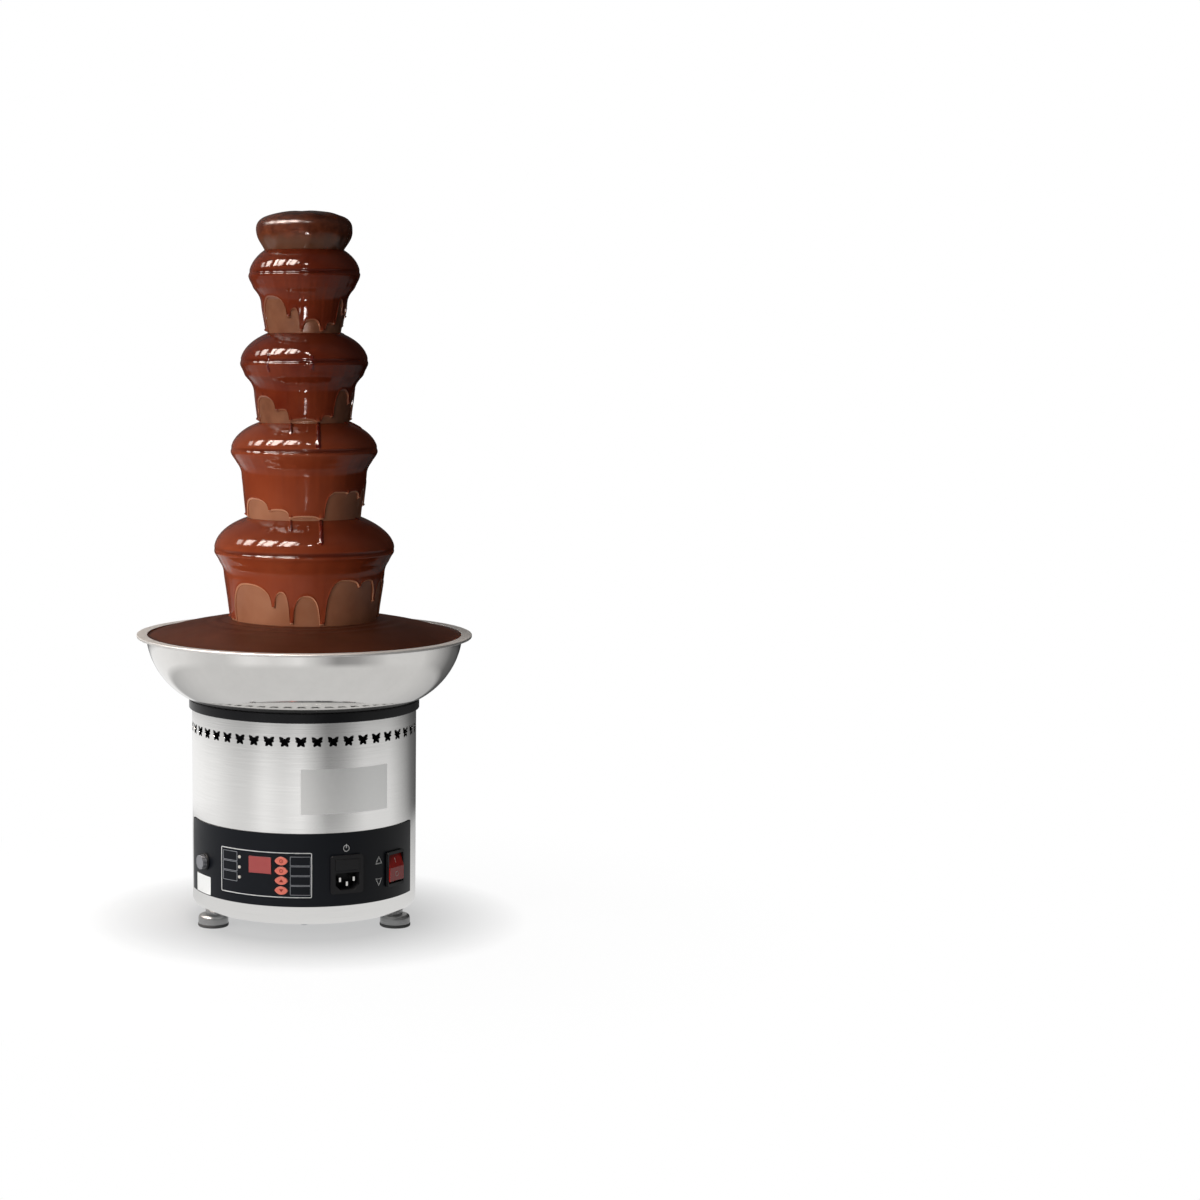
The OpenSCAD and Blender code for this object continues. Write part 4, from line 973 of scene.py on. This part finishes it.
def curtain_point(kind, value, i, angle, reach, tip):
    """A point on the glaze of a curtain, on its rounded edge, or on the film below it."""
    fall = falls[i]
    if kind == "fall":
        t = (reach - EDGE[0] / fall.length) * value ** 1.5
        start = min(1.0, t * fall.length / 14)
        thick = GLAZE_T * start ** 2 + fold(angle) * math.sin(math.pi * value)
    elif kind == "edge":
        t = reach - value / fall.length
        thick = GLAZE_T * math.sqrt(max(0.0, 1 - (1 - min(1, value / 2.0)) ** 2))
        thick += 0.5 * hump(value - 1.9, 0.8)
        thick += 1.2 * tip * hump(value - 2.0, 1.4) * min(1, value / 0.5)
    else:
        t, thick = reach + (1 - reach) * value, -0.15
    r, z = fall.point(t)
    drop = TIER_Z[i] - z
    run = hanging(i, drop, angle)
    return r + thick + run + rim_groove(i, drop, angle), z, run


print("drips that hang over a rim:", len(HANGING))

# %% Build the tiers
# The sum of a face's run heights in mm from which it looks as dark as a run
RUN_SHOWS = 1.2


def build_tier(i):
    """Spins a tier, moves its rows to the glaze's form and picks each face's finish."""
    points, rows, start = tier_section(i)
    bm = spun(points, TURNS)
    layer = bm.verts.layers.int["row"]
    runs = bm.verts.layers.float.new("run")
    angles = column_angles(all_drips[i] + above[i])
    reaches = [glaze_reach(angle, all_drips[i], LAND_R[i]) for angle in angles]
    for vert in bm.verts:
        kind, value = rows[vert[layer]]
        share = math.atan2(vert.co.x, -vert.co.y) / (2 * math.pi) + 0.5
        column = round(share * TURNS) % TURNS
        angle = angles[column]
        r, z = math.hypot(vert.co.x, vert.co.y) / MM, vert.co.z / MM
        if kind == "dome":
            r, z, vert[runs] = dome_point(i, value, angle, start)
        elif kind in ("fall", "edge", "film"):
            r, z, vert[runs] = curtain_point(kind, value, i, angle, *reaches[column])
        turn = math.radians(angle)
        vert.co = Vector((r * math.sin(turn), -r * math.cos(turn), z)) * MM
    first_film = DOME_ROWS + FALL_ROWS + len(EDGE)
    for face in bm.faces:
        ids = [vert[layer] for vert in face.verts]
        low, high = min(ids), max(ids)
        if first_film - 1 <= low and high < first_film + FILM_ROWS:
            face.material_index = 1
        elif sum(vert[runs] for vert in face.verts) > RUN_SHOWS:
            face.material_index = 2
        # The band along the glaze's rounded edge gets the painted edge highlight
        elif first_film - 6 <= low and high < first_film - 1:
            face.material_index = 3
    bmesh.ops.recalc_face_normals(bm, faces=bm.faces)
    coat, film, edge = ((glaze, film_left, glaze_edge_highlight) if i < 2 else
                        (glaze_upper, film_upper, edge_highlight_upper))
    return add_piece(f"chocolate_tier_{i + 1}", bm, [coat, film, thick_run, edge], "tower",
                     [f"chocolate_flow_{i + 1}"], 60)


for i in range(TIERS):
    tier = build_tier(i)
    print(tier.name, len(tier.data.polygons), "faces")

# %% [markdown]
# The crown is where the conveyor lifts the chocolate out: a low cushion of chocolate that wells
# over the cup's rim, so its top is uneven and its curtain short.

# %% Crown
crown_land_z = dome_z(3, CROWN_LAND)
CROWN_TOP_ROWS, CROWN_FALL_ROWS = 30, 26
# Under one, this makes the crown squarer than an ellipse
CROWN_POWER = 2 / 2.6


def crown_lump(x, y):
    """Slow swells on the top of the crown, in mm."""
    return 0.5 * math.sin(0.12 * x + 1.1) * math.cos(0.15 * y) + 0.25 * math.sin(0.2 * (x + y))


top = []
for k in range(CROWN_TOP_ROWS):
    a = math.pi / 2 * k / CROWN_TOP_ROWS
    top.append((CROWN_R * math.sin(a) ** CROWN_POWER,
                CROWN_Z + CROWN_RISE * math.cos(a) ** CROWN_POWER))
fall = [bezier((CROWN_R, CROWN_Z), (CROWN_R, CROWN_Z - 7.5), (CROWN_LAND + 3.1, CROWN_Z - 13),
               (CROWN_LAND, crown_land_z), k / CROWN_FALL_ROWS) for k in range(CROWN_FALL_ROWS + 1)]
inside = [(r - FILM, z) for r, z in reversed(fall)]
section = top + fall + inside + [(CROWN_R - FILM, CROWN_Z + 0.2), (0, CROWN_Z + 0.2)]
bm = spun(section, 360, False)
layer = bm.verts.layers.int["row"]
for vert in bm.verts:
    if vert[layer] < CROWN_TOP_ROWS:
        x, y = vert.co.x / MM, vert.co.y / MM
        inner = 1 - (math.hypot(x, y) / CROWN_R) ** 6
        vert.co.z += crown_lump(x, y) * inner * MM
    elif vert[layer] < CROWN_TOP_ROWS + CROWN_FALL_ROWS:
        angle = math.atan2(vert.co.x, -vert.co.y)
        swell = 0.5 * math.sin(9 * angle + 0.6) + 0.3 * math.sin(17 * angle)
        share = math.sin(math.pi * (vert[layer] - CROWN_TOP_ROWS) / CROWN_FALL_ROWS)
        vert.co.xy *= 1 + share * swell / CROWN_R
bmesh.ops.recalc_face_normals(bm, faces=bm.faces)
crown_skin = chocolate("thinning_chocolate", ("#481c0c", "#6f3822"), 9, (0.15, 0.3), 4, 0.2,
                       ("#5e3a28", CROWN_Z - 7, CROWN_Z + 1))
crown = add_piece("chocolate_crown_swell", bm, [crown_skin], "tower",
                  ["chocolate_crown"], 60)
print("crown:", len(crown.data.polygons), "faces")

# %% [markdown]
# The pool is mounded where the lowest curtain falls in, with slow rings round it, and thins
# towards the bowl's wall.

# %% Pool
POOL_IN, POOL_FLAT, POOL_EDGE_Z = 45, 73.5, BOWL_TOP - 1.8
BOWL_FLOOR = BOWL_Z + BOWL_T + 0.2
wall_r = BOWL_R - BOWL_T - 0.2
wall_end = math.degrees(math.asin((POOL_EDGE_Z - BOWL_CENTRE[1]) / wall_r))
wall = arc(BOWL_CENTRE, wall_r, -90, wall_end, 30)
edge_r = wall[-1][0]
POOL_ROWS = 60
mound = [(POOL_IN, POOL_Z)]
for k in range(POOL_ROWS):
    t = k / POOL_ROWS
    mound.append((POOL_FLAT + (edge_r - POOL_FLAT) * t,
                  POOL_Z - (POOL_Z - POOL_EDGE_Z) * t ** 1.7))
section = mound + list(reversed(wall)) + [(POOL_IN, BOWL_FLOOR)]
bm = spun(section, 360)
layer = bm.verts.layers.int["row"]
for vert in bm.verts:
    if 1 <= vert[layer] <= POOL_ROWS:
        r = math.hypot(vert.co.x, vert.co.y) / MM
        angle = math.atan2(vert.co.x, -vert.co.y)
        ring = 0.35 * math.cos((r - 72) * 0.42 + 0.8 * math.sin(2 * angle)) * hump(r - 80, 22)
        slow = 0.4 * math.sin(3 * angle + 0.05 * r) * (1 - (r / edge_r) ** 8)
        vert.co.z += (ring + slow) * MM
bmesh.ops.recalc_face_normals(bm, faces=bm.faces)
pool = add_piece("chocolate_pool_surface", bm, [pool_dark], "base",
                 ["chocolate_pool"], 60)
print("pool:", len(pool.data.polygons), "faces")

# %% [markdown]
# ## Print and stickers
# The panel's marks are ink, so they are drawn flat, cut into narrow columns, given the thickness
# of ink and bent round the drum. Words and names are left off: their boxes stay bare.


# %% Drawing helpers
def flat_plate(width, height, corner=0.0):
    bm = bmesh.new()
    bmesh.ops.create_grid(bm, x_segments=1, y_segments=1, size=0.5)
    bmesh.ops.scale(bm, verts=bm.verts, vec=(width * MM, height * MM, 1))
    if corner:
        bmesh.ops.bevel(bm, geom=bm.verts[:], offset=corner * MM, offset_type="OFFSET", segments=6,
                        profile=0.5, affect="VERTICES", material=-1, clamp_overlap=True)
    return bm


def hollow(bm, line):
    """Leaves only a line of a flat shape's outline."""
    bm.normal_update()
    whole = bm.faces[:]
    bmesh.ops.inset_region(bm, faces=whole, thickness=line * MM, use_even_offset=True,
                           use_boundary=True)
    bmesh.ops.delete(bm, geom=whole, context="FACES_ONLY")
    return bm


def flat_frame(width, height, line, corner=0.0):
    return hollow(flat_plate(width, height, corner), line)


def flat_polygon(corners):
    bm = bmesh.new()
    bm.faces.new([bm.verts.new((x * MM, y * MM, 0)) for x, y in corners])
    return bm


def flat_ring(radius, line):
    bm = bmesh.new()
    bmesh.ops.create_circle(bm, cap_ends=True, segments=32, radius=radius * MM)
    return hollow(bm, line)


def join(target, shape):
    """Moves a shape into a larger one."""
    held = bpy.data.meshes.new("held")
    shape.to_mesh(held)
    shape.free()
    target.from_mesh(held)
    bpy.data.meshes.remove(held)


# Thickness of ink, and width of the columns that a print is cut into, in mm
INK, COLUMN = 0.12, 3.0


def print_on(target, shape, angle, height, radius=PANEL_R, ink=INK):
    """Bends a flat shape round the drum, its middle at an angle and height, and adds it."""
    xs = [vert.co.x for vert in shape.verts]
    cut = math.floor(min(xs) / (COLUMN * MM)) * COLUMN * MM
    while cut < max(xs):
        whole = shape.verts[:] + shape.edges[:] + shape.faces[:]
        bmesh.ops.bisect_plane(shape, geom=whole, plane_co=(cut, 0, 0), plane_no=(1, 0, 0))
        cut += COLUMN * MM
    bmesh.ops.recalc_face_normals(shape, faces=shape.faces)
    bmesh.ops.solidify(shape, geom=shape.faces[:], thickness=ink * MM)
    low = min(vert.co.z for vert in shape.verts)
    bmesh.ops.translate(shape, verts=shape.verts, vec=(0, 0, -low))
    for vert in shape.verts:
        reach = radius * MM + vert.co.z
        turn = math.radians(angle) + vert.co.x / (radius * MM)
        vert.co = (reach * math.sin(turn), -reach * math.cos(turn), height * MM + vert.co.y)
    bmesh.ops.recalc_face_normals(shape, faces=shape.faces)
    join(target, shape)


# %% Marks on the control panel
white = bmesh.new()
grey = bmesh.new()
KEYPAD_W = math.radians(49.2) * PANEL_R
KEY_TURN = -11.2
KEY_Z = [79.0, 69.6, 60.2, 50.8]
LAMP_Z = [79.7, 69.9, 60.1]
print_on(white, flat_frame(KEYPAD_W, 43.4, 0.8, 1.5), -20.8, 65.5)
for z in LAMP_Z:
    print_on(grey, flat_frame(17.6, 9.2, 0.5, 0.4), -39.5, z)
for z in KEY_Z:
    print_on(grey, flat_frame(19.6, 8.9, 0.5, 0.4), -1.9, z)
for corners, z in [([(-4.3, -3.6), (4.3, -3.6), (0, 4.2)], 74.7),
                   ([(-4.3, 3.6), (0, -4.2), (4.3, 3.6)], 53.5)]:
    print_on(white, hollow(flat_polygon(corners), 0.9), 39.8, z)
print_on(white, flat_ring(3.2, 0.6), 21, 90.2)
print_on(white, flat_plate(0.8, 4.0), 21, 92.4)
marks = add_piece("panel_print", white, [white_print], "base")
add_piece("panel_boxes", grey, [grey_print], "base")
print("panel print:", len(marks.data.polygons), "faces")

# %% Stickers, left bare
sticker = bmesh.new()
print_on(sticker, flat_plate(28.8, 17.6, 0.8), -61.5, 44.6, ink=0.15)
add_piece("bare_sticker", sticker, [sticker_white], "base")
film = bmesh.new()
print_on(film, flat_plate(math.radians(47.6) * BASE_R, 43, 0.8), 22.1, 145, BASE_R)
add_piece("bare_label_film", film, [label_film], "base")
print("stickers: two, bare")

# %% [markdown]
# ## Marks on the keys and the rocker
# These marks move with the pieces they are printed on, so each is a piece of its own that rides
# on the same body.


# %% Key and rocker marks
def print_flat(name, shapes, material, body, angle, height, reach, lean=0.0, pivot=0.0):
    """Flat ink on a face that looks out at an angle; lean tips the face about the pivot."""
    whole = bmesh.new()
    for shape in shapes:
        bmesh.ops.solidify(shape, geom=shape.faces[:], thickness=INK * MM)
        join(whole, shape)
    upright = Matrix.Rotation(math.radians(90), 4, "X")
    face = Matrix.Translation((0, -(reach - pivot) * MM, 0)) @ upright
    tip = Matrix.Rotation(lean, 4, "X")
    stand = Matrix.Translation((0, -pivot * MM, 0)) @ tip @ face
    turn = Matrix.Rotation(math.radians(angle), 4, "Z") @ Matrix.Translation((0, 0, height * MM))
    bmesh.ops.transform(whole, matrix=turn @ stand, verts=whole.verts)
    bmesh.ops.recalc_face_normals(whole, faces=whole.faces)
    return add_piece(name, whole, [material], body)


KEY_FACE, ROCKER_EDGE, ROCKER_FACE = 112.12, 112.45, 114.7
up = [(-2.0, -1.3), (2.0, -1.3), (0, 1.6)]
down = [(-2.0, 1.3), (0, -1.6), (2.0, 1.3)]
key_shapes = [[flat_ring(1.9, 0.6), flat_plate(0.6, 1.6)],
              [flat_ring(1.9, 0.6), flat_plate(1.6, 0.6)], [flat_polygon(up)], [flat_polygon(down)]]
for k, shapes in enumerate(key_shapes):
    print_flat(f"key_mark_{k + 1}", shapes, key_ink, f"key_{k + 1}", KEY_TURN,
               KEY_Z[k], KEY_FACE)
# The rocker's upper half is pressed in: it leans back, and its lower half stands upright
ROCKER_TURN, ROCKER_Z, ROCKER_LEAN = 51, 64.0, math.radians(-20)
print_flat("rocker_mark_on", [flat_plate(0.9, 5.0)], rocker_ink, "rocker",
           ROCKER_TURN, ROCKER_Z + 7.62, ROCKER_EDGE, ROCKER_LEAN, ROCKER_EDGE)
print_flat("rocker_mark_off", [flat_ring(2.6, 0.8)], rocker_ink, "rocker",
           ROCKER_TURN, ROCKER_Z - 5.2, ROCKER_FACE)
print("marks: four keys and the rocker")

# %% [markdown]
# ## Finish
# The visual model has to stay inside the CAD model's box.

# %% Sizes of the two models
visual_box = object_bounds()
for name, box in (("CAD", cad_box), ("visual", visual_box)):
    print(name, "box:", [[round(c, 4) for c in p] for p in box])
